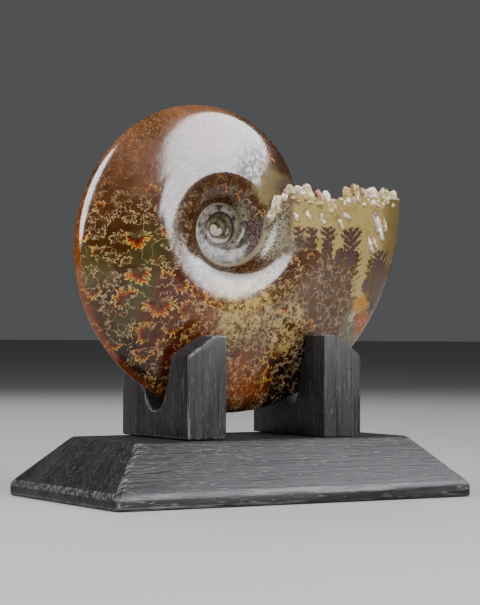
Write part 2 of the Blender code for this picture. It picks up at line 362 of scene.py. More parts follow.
@dataclass(frozen=True)
class WhorlSection:
    """The whorl's half section from the inner seam to the outer edge, as fractions of its radius."""

    growth_per_turn: float
    thinning: float
    seam_reach: float = 0.198
    flank_bulge: float = 0.2246
    flank: tuple[tuple[float, float], ...] = (
        (0.215, 0.152),
        (0.240, 0.178),
        (0.280, 0.200),
        (0.345, 0.2185),
    )
    slope: tuple[tuple[float, float], ...] = (
        (0.530, 0.209),
        (0.630, 0.1785),
        (0.730, 0.144),
        (0.820, 0.110),
        (0.900, 0.0755),
        (0.955, 0.047),
        (0.988, 0.0225),
        (1.000, 0.0),
    )
    spacing: float = 0.0125

    def corners(self) -> list[tuple[float, float]]:
        """List the section's points.

        Returns:
            The reach and the bulge of each point.
        """
        seam = (self.seam_reach, self.flank_bulge / (self.growth_per_turn * self.thinning))
        widest = (self.seam_reach * self.growth_per_turn, self.flank_bulge)
        return [seam, *self.flank, widest, *self.slope]

    def steps(self) -> list[int]:
        """List the number of steps between each of the section's points and the next."""
        spans = [end - start for (start, _), (end, _) in pairwise(self.corners())]
        return [max(2, round(span / self.spacing)) for span in spans]

    def seam_station(self) -> int:
        """Return the number of the station that the next whorl's seam covers."""
        return sum(self.steps()[: len(self.flank) + 1])

    def reaches(self) -> list[float]:
        """Space the stations in equal steps between the section's points.

        Returns:
            The reach of every station.
        """
        found = [self.seam_reach]
        for ((start, _), (end, _)), steps in zip(pairwise(self.corners()), self.steps()):
            found += [start + (end - start) * (step + 1) / steps for step in range(steps)]
        return found

    def bulge(self, reach: float) -> float:
        """Return the half thickness at a reach, on a smooth curve through the section's points.

        The curve runs over the square root of the room left to the edge, so
        that the edge itself is round. Its slopes are limited so that it never
        overshoots a point.

        Args:
            reach: The distance from the pole as a fraction of the radius.

        Returns:
            The half thickness as a fraction of the radius.
        """
        if reach >= 1.0:
            return 0.0
        points = [(math.sqrt(max(0.0, 1.0 - place)), bulge) for place, bulge in reversed(self.corners())]
        spot = math.sqrt(1.0 - max(reach, self.seam_reach))
        index = max(i for i in range(len(points) - 1) if points[i][0] <= spot + 1e-12)
        slopes = [(y1 - y0) / (x1 - x0) for (x0, y0), (x1, y1) in pairwise(points)]

        def knot_slope(knot: int) -> float:
            """Return the curve's slope at one of the points.

            Args:
                knot: The point's number.

            Returns:
                The slope.
            """
            if knot in (0, len(points) - 1):
                return slopes[min(knot, len(slopes) - 1)]
            before, after = slopes[knot - 1], slopes[knot]
            if before * after <= 0.0:
                return 0.0
            return 2 * before * after / (before + after)

        (x0, y0), (x1, y1) = points[index], points[index + 1]
        width = x1 - x0
        share = (spot - x0) / width
        start, end = knot_slope(index) * width, knot_slope(index + 1) * width
        rise = y1 - y0
        return y0 + share * (start + share * (3 * rise - 2 * start - end + share * (start + end - 2 * rise)))


@dataclass(frozen=True)
class BrokenEnd:
    """The line along which the last whorl is broken off, and the surface it spans."""

    spiral: Spiral
    section: WhorlSection
    level: float = 11.8 * MM
    chips: float = 0.7 * MM
    chips_per_mm: float = 0.8
    dip_depth: float = 2.4 * MM
    dip_distance: float = 38 * MM
    dip_width: float = 6 * MM
    climb: float = math.radians(2200)

    def angle(self, distance: float) -> float:
        """Return the direction from the pole to the broken end.

        Args:
            distance: The distance from the pole.

        Returns:
            The angle, within one turn.
        """
        dip = self.dip_depth * math.exp(-(((distance - self.dip_distance) / self.dip_width) ** 2))
        chips = self.chips * noise.noise(Vector((distance / MM * self.chips_per_mm, 0.0, 3.0)))
        level = math.asin(min(1.0, (self.level - dip + chips) / distance))
        seam = self.section.seam_reach * self.spiral.radius(self.spiral.end_angle)
        return min(level, self.spiral.end_angle - TURN + self.climb * (distance - seam))

    def half_width(self, distance: float, turns: int) -> float:
        """Return the half thickness of a whorl where the broken end crosses it.

        Args:
            distance: The distance from the pole.
            turns: 1 for the outer whorl, 0 for the whorl inside it.

        Returns:
            The half thickness, or zero past the whorl's edge.
        """
        angle = self.angle(distance) + TURN * turns
        reach = distance / self.spiral.radius(angle)
        return self.spiral.half_depth(angle, self.section.bulge(reach))

    def place(self, distance: float, across: float, height: float) -> Vector:
        """Return a point on or over the broken end.

        Args:
            distance: The distance from the pole.
            across: The place across the shell, negative on the viewer's side.
            height: How far it is raised, towards where the shell once went on.

        Returns:
            The point.
        """
        angle = self.angle(distance)
        reach = distance / self.spiral.radius(angle)
        raised = Vector((-math.sin(angle), 0.0, math.cos(angle))) * height
        return self.spiral.place(angle, reach, -across) + raised


@dataclass(frozen=True)
class Knob:
    """One calcite knob on the broken end.

    Its tint runs from 0, white, through pink and cream to 1, rust.
    """

    distance: float
    across: float
    radius: float
    height: float
    tint: float
    bulb: bool = True


@dataclass(frozen=True)
class Drip:
    """A lump of calcite that lies on the flank below the broken end, in millimetres and degrees."""

    x: float
    z: float
    heading: float
    length: float
    radius: float
    tint: float
    sunk: ClassVar[float] = 0.35
    gnarl: ClassVar[float] = 0.7
    gnarl_scale: ClassVar[float] = 700.0

    def build(self, bm: bmesh.types.BMesh, end: BrokenEnd, flank: Flank) -> None:
        """Add the lump to the crust's mesh.

        Args:
            bm: The mesh.
            end: The broken end.
            flank: The side of the shell that it lies on.
        """
        pole = end.spiral.pole
        offset = Vector((self.x * MM - pole.x, self.z * MM - pole.z))
        angle = math.atan2(offset.y, offset.x) + TURN
        depth = end.spiral.half_depth(angle, end.section.bulge(offset.length / end.spiral.radius(angle)))
        place = Vector((self.x * MM, flank.value * (depth - self.sunk * self.radius * MM), self.z * MM))
        turn = Matrix.Rotation(-math.radians(self.heading), 4, "Y")
        size = Matrix.Diagonal((self.length / 2, self.radius, self.radius, 1.0)) * MM
        size[3][3] = 1.0
        matrix = Matrix.Translation(place) @ turn @ size
        verts = bmesh.ops.create_icosphere(bm, subdivisions=3, radius=1.0, matrix=matrix)["verts"]
        tint = bm.verts.layers.float["tint"]
        for vert in verts:
            vert.co += noise.noise_vector(vert.co * self.gnarl_scale) * self.radius * self.gnarl * MM
            vert[tint] = self.tint


@dataclass
class CalciteCrust:
    """The knobbly crust that closes the broken end."""

    end: BrokenEnd
    drips: tuple[Drip, ...] = (
        Drip(12.1, 97.3, -55, 4.0, 0.8, 0.20), Drip(16.6, 97.7, -60, 4.2, 0.8, 0.30),
        Drip(22.0, 97.0, -60, 4.4, 0.9, 0.25), Drip(30.4, 95.8, -58, 5.6, 1.1, 0.30),
        Drip(33.6, 98.4, -30, 4.6, 1.0, 0.15), Drip(47.4, 89.2, -68, 7.0, 0.9, 0.10),
        Drip(49.6, 90.0, -60, 5.6, 0.8, 0.15), Drip(53.6, 92.8, -62, 5.4, 1.0, 0.05),
        Drip(51.2, 96.8, -70, 7.4, 1.7, 0.10), Drip(55.4, 96.4, -78, 5.4, 1.0, 0.40),
    )
    front: tuple[tuple[float, float, float, float], ...] = (
        (25.6, 1.8, 4.4, 0.30),
        (28.8, 1.4, 3.4, 0.15),
        (31.7, 1.6, 4.9, 0.45),
        (35.0, 1.6, 4.1, 0.95),
        (38.3, 1.6, 3.7, 0.00),
        (49.0, 1.6, 4.1, 0.60),
        (54.0, 2.0, 5.5, 0.72),
        (57.8, 1.6, 3.6, 0.70),
        (63.0, 2.7, 4.1, 0.10),
        (68.0, 1.6, 3.2, 0.40),
        (71.2, 1.4, 3.2, 0.65),
        (75.4, 1.3, 3.6, 0.55),
    )
    back: tuple[tuple[float, float, float, float], ...] = (
        (24.4, 1.5, 3.4, 0.20),
        (28.0, 1.8, 4.3, 0.60),
        (32.6, 1.5, 3.4, 0.05),
        (37.0, 2.0, 4.0, 0.40),
        (41.2, 1.5, 3.0, 0.85),
        (45.5, 1.9, 4.3, 0.10),
        (49.9, 1.5, 3.3, 0.55),
        (53.5, 1.5, 3.8, 0.30),
        (65.4, 1.9, 3.8, 0.15),
        (69.4, 1.4, 3.0, 0.70),
        (73.3, 1.3, 3.2, 0.35),
    )
    rim_margin: float = 0.15 * MM
    lift: float = 1.2
    gnarl: float = 0.6 * MM
    hump_pitch: float = 6.0 * MM
    hump_jitter: float = 0.9 * MM
    hump_radius: tuple[float, float] = (2.2 * MM, 3.0 * MM)
    hump_height: tuple[float, float] = (1.0 * MM, 2.2 * MM)
    seed: int = 11
    sink_depth: float = 2.4 * MM
    sink_run: float = 6.0 * MM
    inset: float = 0.06 * MM
    taper: float = 0.92
    overlap: float = 0.6 * MM
    footing: float = 4.0 * MM
    rows: int = 256
    columns: int = 72
    lump_height: float = 0.55 * MM
    lump_scale: float = 480.0
    grit_height: float = 0.16 * MM
    grit_scale: float = 1500.0

    def seam(self) -> float:
        """Return the distance from the pole to the inner seam at the broken end."""
        return self.end.section.seam_reach * self.end.spiral.radius(self.end.spiral.end_angle)

    def tip(self) -> float:
        """Find where the broken end meets the outer edge.

        Returns:
            The distance from the pole.
        """
        distance = self.end.spiral.radius(self.end.spiral.end_angle)
        for _ in range(8):
            distance = self.end.spiral.radius(self.end.angle(distance) + TURN)
        return distance

    def gap(self, distance: float, across: float) -> float:
        """Return how far a place lies inside the outline of the broken end.

        Args:
            distance: Its distance from the pole.
            across: Its place across the shell.

        Returns:
            The distance to the outline, or zero outside.
        """
        outer = self.end.half_width(distance, 1) - abs(across)
        inner_edge = self.end.half_width(distance, 0)
        inner = abs(across) - inner_edge if inner_edge > 0.0 else outer
        return max(0.0, min(outer, inner, self.tip() - distance))

    def rim_drips(self, flank: Flank) -> list[Drip]:
        """List the lumps that spill over one side of the broken edge.

        Args:
            flank: The side.

        Returns:
            The lumps.
        """
        chance = random.Random(self.seed + 2 + flank.value)
        found = []
        distance = self.seam() + 1.5 * MM
        while distance < self.tip() - 3.0 * MM:
            radius = chance.uniform(0.8, 1.9)
            angle = self.end.angle(distance)
            fall = chance.uniform(0.0, 2.0)
            x = (self.end.spiral.pole.x + distance * math.cos(angle)) / MM
            z = (self.end.spiral.pole.z + distance * math.sin(angle)) / MM - fall
            heading, length = chance.uniform(-110, -50), radius * chance.uniform(2.0, 3.2)
            found.append(Drip(x, z, heading, length, radius, chance.uniform(0.25, 0.80)))
            distance += radius * chance.uniform(1.4, 3.2) * MM
        return found

    def knobs(self) -> list[Knob]:
        """List the knobs along both flanks and the lower humps between them.

        Returns:
            The knobs and humps.
        """
        found = []
        for flank, rows in ((Flank.FRONT, self.front), (Flank.BACK, self.back)):
            for distance, radius, height, tint in rows:
                across = self.end.half_width(distance * MM, 1) - radius * MM - self.rim_margin
                across *= flank.value
                found.append(Knob(distance * MM, across, radius * MM, height * MM * self.lift, tint))
        chance = random.Random(self.seed)
        row_pitch = self.hump_pitch * math.sin(math.radians(60))
        columns = round(self.end.half_width(self.tip() / 2, 1) / self.hump_pitch) + 1
        for row in range(round(self.tip() / row_pitch)):
            for column in range(-columns, columns + 1):
                distance = row * row_pitch + chance.uniform(-1, 1) * self.hump_jitter
                across = (column + 0.5 * (row % 2)) * self.hump_pitch
                across += chance.uniform(-1, 1) * self.hump_jitter
                radius = chance.uniform(*self.hump_radius)
                height = chance.uniform(*self.hump_height)
                tint = chance.uniform(0.0, 0.8)
                if distance < self.seam():
                    continue
                bulbs = [knob for knob in found if knob.bulb]
                room = [math.hypot(distance - k.distance, across - k.across) - k.radius for k in bulbs]
                if min(room + [self.gap(distance, across)]) >= radius:
                    found.append(Knob(distance, across, radius, height, tint, bulb=False))
        return found

    def bulb_profile(self, share: float) -> tuple[float, float]:
        """Return how wide and how high a knob is, for a place between its middle and its foot.

        Args:
            share: 0 at the knob's middle, 1 at its foot.

        Returns:
            Fractions of the knob's radius and of its height.
        """
        crown, neck, foot = 0.70, 0.86, 0.92
        if share < neck:
            turn = math.radians(90) * share / crown
            return 0.97 * math.sin(turn), 0.62 + 0.38 * math.cos(turn)
        low_width, low_height = self.bulb_profile(neck - 1e-6)
        if share < foot:
            fall = (share - neck) / (foot - neck)
            return low_width, low_height * (1 - fall) + 0.06 * fall
        spread = (share - foot) / (1 - foot)
        return low_width + (1 - low_width) * spread, 0.06 * (1 - spread)

    def settle(
        self, vert: bmesh.types.BMVert, distance: float, across: float, knobs: Sequence[Knob]
    ) -> float:
        """Move a vertex of the crust to its place.

        Args:
            vert: The vertex.
            distance: Its distance from the pole, before the knobs push it.
            across: Its place across the shell.
            knobs: The knobs and humps.

        Returns:
            The tint of the knob that it lies on, or of the ground between knobs.
        """
        gap = self.gap(distance, across)
        base = -self.sink_depth * math.sin(min(1.0, gap / self.sink_run) * math.pi / 2)
        flat = Vector((distance, across, 0.0))
        lumps = noise.noise(flat * self.lump_scale) * self.lump_height
        lumps += noise.noise(flat * self.grit_scale) * self.grit_height
        height = base + lumps * min(1.0, gap / self.rim_margin / 2)
        tint = 0.5 + 0.4 * noise.noise(flat * self.lump_scale * 0.4)
        for knob in knobs:
            offset = Vector((distance - knob.distance, across - knob.across))
            wobble = 1.0 + 0.42 * noise.noise(flat * self.lump_scale * 1.3)
            share = offset.length / (knob.radius * wobble)
            if share >= 1.0:
                continue
            tint = knob.tint
            if not knob.bulb:
                height += knob.height * math.sqrt(1 - share * share)
                continue
            width, lift = self.bulb_profile(share)
            lift *= 1.0 + 0.45 * noise.noise(flat * self.lump_scale * 1.6)
            if share > 0.0:
                offset *= width / share
            distance, across = knob.distance + offset.x, knob.across + offset.y
            height += knob.height * lift
        vert.co = self.end.place(distance, across, height)
        rough = noise.noise_vector(flat * self.lump_scale * 1.7) * self.gnarl
        rough += noise.noise_vector(flat * self.lump_scale * 4.1) * (0.4 * self.gnarl)
        calm = 1.0 if height > base + self.grit_height else 0.3
        vert.co += rough * min(1.0, gap / (2.5 * self.rim_margin)) * calm
        return tint

    def grow_leg(self, bm: bmesh.types.BMesh, flank: Flank, knobs: Sequence[Knob]) -> None:
        """Extrude one side of the crust from the outer flank to the middle or to the whorl inside.

        Args:
            bm: The crust's mesh.
            flank: The side to grow.
            knobs: The knobs and humps.
        """
        order = bm.verts.layers.int["order"]
        tint = bm.verts.layers.float["tint"]
        seam, tip = self.seam(), self.tip() - self.inset
        distances = [seam + (tip - seam) * step / self.rows for step in range(self.rows + 1)]
        outer = [max(0.0, self.end.half_width(distance, 1) - self.inset) for distance in distances]
        inner = [max(0.0, self.end.half_width(distance, 0) - self.overlap) for distance in distances]
        near = [knob for knob in knobs if knob.across * flank.value > -knob.radius]
        beside = [[knob for knob in near if abs(knob.distance - d) < 1.2 * knob.radius] for d in distances]

        def settle_row(verts: Sequence, column: int) -> None:
            """Place a row of vertices.

            Args:
                verts: The row.
                column: How many columns it stands in from the flank.
            """
            share = column / self.columns
            for vert in verts:
                index = vert[order]
                width = max(0.0, outer[index] * (1 - share) + min(inner[index], outer[index]) * share)
                vert[tint] = self.settle(vert, distances[index], flank.value * width, beside[index])

        verts = [bm.verts.new() for _ in distances]
        for index, vert in enumerate(verts):
            vert[order] = index
        edges = [bm.edges.new(pair) for pair in pairwise(verts)]
        settle_row(verts, 0)
        for column in range(1, self.columns + 1):
            grown = bmesh.ops.extrude_edge_only(bm, edges=edges)
            verts = new_parts(grown, bmesh.types.BMVert)
            fresh = set(verts)
            edges = [edge for edge in new_parts(grown, bmesh.types.BMEdge) if fresh.issuperset(edge.verts)]
            settle_row(verts, column)

    def build(self) -> bmesh.types.BMesh:
        """Build the crust as a closed body that sits in the shell's open end.

        Returns:
            Its mesh, with a tint for each vertex.
        """
        noise.seed_set(self.seed)
        bm = bmesh.new()
        bm.verts.layers.int.new("order")
        bm.verts.layers.float.new("tint")
        knobs = self.knobs()
        for flank in Flank:
            self.grow_leg(bm, flank, knobs)
        bmesh.ops.remove_doubles(bm, verts=bm.verts, dist=MERGE_DISTANCE)
        bmesh.ops.dissolve_degenerate(bm, edges=bm.edges, dist=MERGE_DISTANCE)
        inside = [vert for vert in bm.verts if not vert.is_boundary]
        every_way = {"use_axis_x": True, "use_axis_y": True, "use_axis_z": True}
        bmesh.ops.smooth_vert(bm, verts=inside, factor=0.5, **every_way)
        rim = [edge for edge in bm.edges if edge.is_boundary]
        skirt = new_parts(bmesh.ops.extrude_edge_only(bm, edges=rim), bmesh.types.BMVert)
        bmesh.ops.scale(bm, vec=(1.0, self.taper, 1.0), verts=skirt)
        bmesh.ops.translate(bm, vec=(-self.footing / 4, 0.0, -self.footing), verts=skirt)
        bmesh.ops.holes_fill(bm, edges=[edge for edge in bm.edges if edge.is_boundary], sides=0)
        for flank in Flank:
            for drip in [*self.drips, *self.rim_drips(flank)]:
                drip.build(bm, self.end, flank)
        bmesh.ops.recalc_face_normals(bm, faces=bm.faces)
        return bm


class LeafKind(Enum):
    """The shapes in the shell's pattern."""

    SUTURE = 0.0
    FERN = 1.0
    TREE = 2.0
    STROKE = 3.0


@dataclass(frozen=True)
class Leaf:
    """One shape of the shell's pattern, which is only colour.

    Its place and size are in millimetres, and its heading in degrees, where 90
    points up. A suture leaf glows from 0, a bare outline, to 1, a full flame.
    The other kinds give their half width in that place.
    """

    x: float
    z: float
    heading: float
    size: float
    glow: float = 0.0
    kind: LeafKind = LeafKind.SUTURE

    def room(self) -> float:
        """Return how wide a stretch of the flank the leaf claims."""
        return self.size + 1.0 if self.kind is LeafKind.SUTURE else self.size * 0.6 + self.glow * 0.4 + 1.0


FERN, TREE, STROKE = LeafKind.FERN, LeafKind.TREE, LeafKind.STROKE


def within(x: float, z: float, areas: Sequence[Area]) -> bool:
    """Tell whether a place lies in one of some round areas, each given by its middle and radius."""
    return any(math.hypot(x - middle_x, z - middle_z) < radius for middle_x, middle_z, radius in areas)


@dataclass(frozen=True)
class SuturePattern:
    """The leaves of both flanks: those listed one by one, and the scattered ones between them."""

    placed: tuple[Leaf, ...] = (
        Leaf(-46, 124, 120, 2.6), Leaf(-43, 120, 90, 1.9), Leaf(-54, 110, -95, 3.0, 0.15),
        Leaf(-57, 109, -90, 2.6, 0.25), Leaf(-49, 115, 95, 2.6), Leaf(-46, 112, 60, 1.9),
        Leaf(-42, 116, 80, 2.3), Leaf(-42, 109, -60, 1.9), Leaf(-51, 102, 90, 3.4),
        Leaf(-58, 99, 130, 2.3, 0.5), Leaf(-55, 97, -80, 1.9), Leaf(-49, 96, -50, 2.6),
        Leaf(-46, 104, 60, 1.9), Leaf(-44, 100, -90, 2.3), Leaf(-62, 95, 70, 1.9, 0.1),
        Leaf(-63, 90, -90, 2.5, 0.9), Leaf(-59, 91, -90, 3.0), Leaf(-57, 94, 10, 1.9),
        Leaf(-47, 89, -90, 4.5, 1.0), Leaf(-53, 88, 90, 2.6), Leaf(-55, 82, 60, 2.6),
        Leaf(-59, 84, 130, 2.3, 0.4), Leaf(-65, 77, -90, 3.0, 0.2), Leaf(-61, 78, 60, 1.9, 0.1),
        Leaf(-60, 71, -90, 3.2, 1.0), Leaf(-55, 75, -40, 3.2), Leaf(-46, 77, -80, 4.2, 1.0),
        Leaf(-50, 81, 120, 1.9, 0.4), Leaf(-50, 68, 140, 4.2, 0.8), Leaf(-39, 67, -85, 5.5, 1.0),
        Leaf(-32, 73, -80, 3.0, 0.9), Leaf(-37, 76, 90, 2.3, 0.8), Leaf(-42, 57, 160, 4.2, 0.9),
        Leaf(-49, 58, -60, 3.0), Leaf(-55, 65, 170, 2.6, 0.3), Leaf(-52, 53, -90, 3.0, 1.0),
        Leaf(-58, 58, 100, 2.3, 0.3), Leaf(-42, 50, -100, 3.4, 0.7), Leaf(-34, 59, -90, 3.4, 0.6),
        Leaf(-29, 65, 170, 3.6, 0.7), Leaf(20, 59, 70, 3.2, 0.9), Leaf(8, 66, -60, 3.0, 0.8),
    )
    feathers: tuple[Leaf, ...] = (
        Leaf(13.1, 90.4, 92, 3.5, 1.7, FERN), Leaf(18.1, 90.2, 88, 3.7, 2.2, FERN),
        Leaf(25.2, 89.5, 92, 4.6, 3.2, FERN), Leaf(37.2, 87.2, 94, 7.2, 4.6, FERN),
        Leaf(30.6, 84.2, 88, 3.0, 1.5, FERN), Leaf(54.2, 78.0, 96, 9.0, 4.2, FERN),
        Leaf(47.0, 74.6, 92, 3.6, 1.5, FERN), Leaf(43.8, 78.0, -99, 9.0, 3.6, TREE),
        Leaf(28.6, 85.8, -88, 3.4, 1.2, TREE), Leaf(21.2, 88.0, -92, 2.6, 1.1, TREE),
        Leaf(12.1, 97.3, -55, 1.9, 0.5, STROKE), Leaf(16.6, 97.7, -60, 2.0, 0.5, STROKE),
        Leaf(22.0, 97.0, -60, 2.0, 0.6, STROKE), Leaf(30.4, 95.8, -58, 2.9, 0.8, STROKE),
        Leaf(33.6, 98.4, -30, 2.4, 0.8, STROKE), Leaf(47.4, 89.2, -68, 4.2, 0.8, STROKE),
        Leaf(49.6, 90.0, -60, 3.4, 0.6, STROKE), Leaf(53.6, 92.8, -62, 3.0, 0.9, STROKE),
        Leaf(51.2, 96.8, -70, 4.6, 1.9, STROKE), Leaf(55.4, 96.4, -78, 3.0, 0.9, STROKE),
        Leaf(41.7, 63.3, 75, 2.6, 1.5, STROKE),
    )
    fine_areas: tuple[Area, ...] = ((-12, 62, 16), (6, 62, 17), (22, 66, 18), (36, 66, 14))
    hot_areas: tuple[Area, ...] = ((-33, 66, 13), (-30, 48, 14), (-46, 60, 7), (4, 44, 10))
    wide: float = 6.2
    fine: float = 3.3
    size_share: float = 0.50
    khaki_start: float = 9.0
    khaki_foot: float = 84.5
    tries: int = 5200
    seed: int = 5

    def spacing(self, x: float, z: float) -> float:
        """Return how far apart scattered leaves stand at a place."""
        sparse = 1.5 if z > 112 else 1.0
        return self.fine if within(x, z, self.fine_areas) else self.wide * sparse

    def leaves(self, flank: Flank, shell: "Ammonite") -> list[Leaf]:
        """List a flank's leaves.

        Args:
            flank: The flank. The listed ones are on the front.
            shell: The shell that the leaves lie on.

        Returns:
            The leaves.
        """
        found = list(self.feathers)
        if flank is Flank.FRONT:
            found += self.placed
        chance = random.Random(self.seed + flank.value)
        pole = shell.spiral.pole / MM
        for _ in range(self.tries):
            angle = shell.spiral.end_angle - TURN * chance.random()
            reach = math.sqrt(chance.uniform(0.09, 0.97))
            radius = shell.spiral.radius(angle) / MM * reach
            x, z = pole.x + radius * math.cos(angle), pole.z + radius * math.sin(angle)
            gap = self.spacing(x, z) * min(1.0, 0.35 + radius / 55)
            adoral = chance.choice((-90, 90))
            heading = math.degrees(angle) + adoral + chance.uniform(-30, 30)
            size = gap * self.size_share * chance.uniform(0.8, 1.1)
            hot = within(x, z, self.hot_areas)
            glow = chance.uniform(0.3, 1.0) if hot else 0.8 * chance.random() ** 7
            if x > self.khaki_start and z > self.khaki_foot - 0.1 * (x - self.khaki_start):
                continue
            if all(math.hypot(x - leaf.x, z - leaf.z) > gap / 2 + 0.9 * leaf.size for leaf in found):
                found.append(Leaf(x, z, heading, size, glow))
        return found


@dataclass
class Ammonite:
    """The fossil: one spiral shell with its calcite crust."""

    node: str = "ammonite"
    spiral: Spiral = field(default_factory=Spiral)
    pattern: SuturePattern = field(default_factory=SuturePattern)
    rows_per_turn: int = 400
    inner_turns: int = 2
    blend_angle: float = math.radians(60)
    recess: float = 5.0 * MM
    recess_taper: float = 0.9

    def __post_init__(self) -> None:
        """Work out the section and the broken end from the spiral."""
        growth = math.exp(self.spiral.growth * TURN)
        self.section = WhorlSection(growth_per_turn=growth, thinning=self.spiral.thinning)
        self.end = BrokenEnd(self.spiral, self.section)
        self.reaches = self.section.reaches()
        self.bulges = [self.section.bulge(reach) for reach in self.reaches]
        self.unrolled = self.unroll()

    def unroll(self) -> list[float]:
        """Measure along the surface how far out each station lies.

        Returns:
            The distances, as fractions of the radius. The widest station keeps its reach.
        """
        along = [0.0]
        for (reach, bulge), (next_reach, next_bulge) in pairwise(zip(self.reaches, self.bulges)):
            along.append(along[-1] + math.hypot(next_reach - reach, next_bulge - bulge))
        widest = self.section.seam_station()
        return [self.reaches[widest] + length - along[widest] for length in along]

    def flat_place(self, place: Vector) -> Vector:
        """Return a place on the last whorl as it lies with the whorl's section rolled out flat.

        Args:
            place: The place, of which X and Z count.

        Returns:
            X and Z from the pole, in metres.
        """
        offset = Vector((place.x - self.spiral.pole.x, place.z - self.spiral.pole.z))
        angle = math.atan2(offset.y, offset.x) % TURN
        if angle < self.spiral.end_angle - TURN:
            angle += TURN
        reach = min(max(offset.length / self.spiral.radius(angle), self.reaches[0]), self.reaches[-1])
        station = max(i for i in range(len(self.reaches) - 1) if self.reaches[i] <= reach)
        low, high = self.reaches[station], self.reaches[station + 1]
        share = (reach - low) / (high - low)
        rolled = self.unrolled[station] * (1 - share) + self.unrolled[station + 1] * share
        return offset * (rolled / reach)

    def station_angle(self, row_angle: float, station: int) -> float:
        """Slide a station along its own spiral so that rows near the break follow its line.

        Args:
            row_angle: The row's angle, in radians.
            station: The station's number.

        Returns:
            The station's own angle.
        """
        reach = self.reaches[station]
        last = self.spiral.end_angle
        first = last - TURN
        from_start = (row_angle - first) / self.blend_angle
        to_end = (last - row_angle) / self.blend_angle
        if to_end < 1.0:
            wanted = self.end.angle(reach * self.spiral.radius(last)) + TURN
            return row_angle + (wanted - last) * (1 - to_end) ** 2
        if station > self.section.seam_station() and from_start < 1.0:
            wanted = self.end.angle(reach * self.spiral.radius(first))
            return row_angle + (wanted - first) * (1 - from_start) ** 2
        return row_angle

    def settle(self, bm: bmesh.types.BMesh, vert: bmesh.types.BMVert, row_angle: float) -> None:
        """Move a vertex to its place on a row, and note its angle and reach.

        Args:
            bm: The shell's mesh.
            vert: The vertex.
            row_angle: The row's angle.
        """
        station = vert[bm.verts.layers.int["order"]]
        angle = self.station_angle(row_angle, station)
        depth = self.spiral.half_depth(angle, self.bulges[station])
        vert.co = self.spiral.place(angle, self.reaches[station], depth)
        vert[bm.verts.layers.float["turns"]] = angle / TURN
        vert[bm.verts.layers.float["reach"]] = self.reaches[station]

    def start_row(self, bm: bmesh.types.BMesh, row: dict, row_angle: float, first: int, last: int) -> None:
        """Add stations to a row, with the edges between them.

        Args:
            bm: The shell's mesh.
            row: The row's verts and edges.
            row_angle: The row's angle.
            first: The first new station.
            last: The last one.
        """
        for station in range(first, last + 1):
            vert = bm.verts.new()
            vert[bm.verts.layers.int["order"]] = station
            self.settle(bm, vert, row_angle)
            row["verts"].append(vert)
            if len(row["verts"]) > 1:
                row["edges"].append(bm.edges.new(row["verts"][-2:]))

    def grow_row(self, bm: bmesh.types.BMesh, row: dict, row_angle: float) -> dict:
        """Extrude a row into the next one.

        Args:
            bm: The shell's mesh.
            row: The row's verts and edges.
            row_angle: The angle of the next row.

        Returns:
            The next row.
        """
        order = bm.verts.layers.int["order"]
        grown = bmesh.ops.extrude_edge_only(bm, edges=row["edges"])
        verts = sorted(new_parts(grown, bmesh.types.BMVert), key=lambda vert: vert[order])
        fresh = set(verts)
        edges = [edge for edge in new_parts(grown, bmesh.types.BMEdge) if fresh.issuperset(edge.verts)]
        for vert in verts:
            self.settle(bm, vert, row_angle)
        return {"verts": verts, "edges": edges}

    def grow_half(self, bm: bmesh.types.BMesh) -> None:
        """Grow the front half of the shell, from its centre to the broken end.

        Args:
            bm: The shell's mesh.
        """
        step = TURN / self.rows_per_turn
        inner_rows = self.inner_turns * self.rows_per_turn
        first_full = self.spiral.end_angle - TURN
        seam_station = self.section.seam_station()
        row = {"verts": [], "edges": []}
        self.start_row(bm, row, first_full - inner_rows * step, 0, seam_station)
        for count in range(1, inner_rows + 1):
            row = self.grow_row(bm, row, first_full + (count - inner_rows) * step)
        self.start_row(bm, row, first_full, seam_station + 1, len(self.reaches) - 1)
        for count in range(1, self.rows_per_turn + 1):
            row = self.grow_row(bm, row, first_full + count * step)

    def note_coordinates(self, bm: bmesh.types.BMesh) -> None:
        """Write each corner's angle in turns and its reach into the spiral UV map.

        Args:
            bm: The shell's mesh.
        """
        layer = bm.loops.layers.uv.new("spiral")
        turns, reach = bm.verts.layers.float["turns"], bm.verts.layers.float["reach"]
        for face in bm.faces:
            for loop in face.loops:
                loop[layer].uv = (loop.vert[turns], loop.vert[reach])

    def close_centre(self, bm: bmesh.types.BMesh) -> None:
        """Close the small hole at the pole with a low dome.

        Args:
            bm: The shell's mesh.
        """
        first_angle = self.spiral.end_angle - TURN * self.inner_turns
        widest = self.section.seam_reach * self.spiral.radius(first_angle)
        pole = self.spiral.pole

        def near(vert: bmesh.types.BMVert) -> bool:
            """Tell whether a vertex lies on the centre's rim."""
            return math.hypot(vert.co.x - pole.x, vert.co.z - pole.z) < 1.5 * widest

        rim = [edge for edge in bm.edges if edge.is_boundary and all(near(vert) for vert in edge.verts)]
        patch = bmesh.ops.contextual_create(bm, geom=rim)["faces"]
        bmesh.ops.poke(bm, faces=patch)

    def add_other_half(self, bm: bmesh.types.BMesh) -> None:
        """Mirror the front half to the back and join them along the outer edge.

        Args:
            bm: The shell's mesh.
        """
        copy = bmesh.ops.duplicate(bm, geom=bm.verts[:] + bm.edges[:] + bm.faces[:])
        verts, faces = new_parts(copy, bmesh.types.BMVert), new_parts(copy, bmesh.types.BMFace)
        bmesh.ops.scale(bm, vec=(1.0, -1.0, 1.0), verts=verts)
        bmesh.ops.reverse_faces(bm, faces=faces)
        bmesh.ops.remove_doubles(bm, verts=bm.verts, dist=MERGE_DISTANCE)

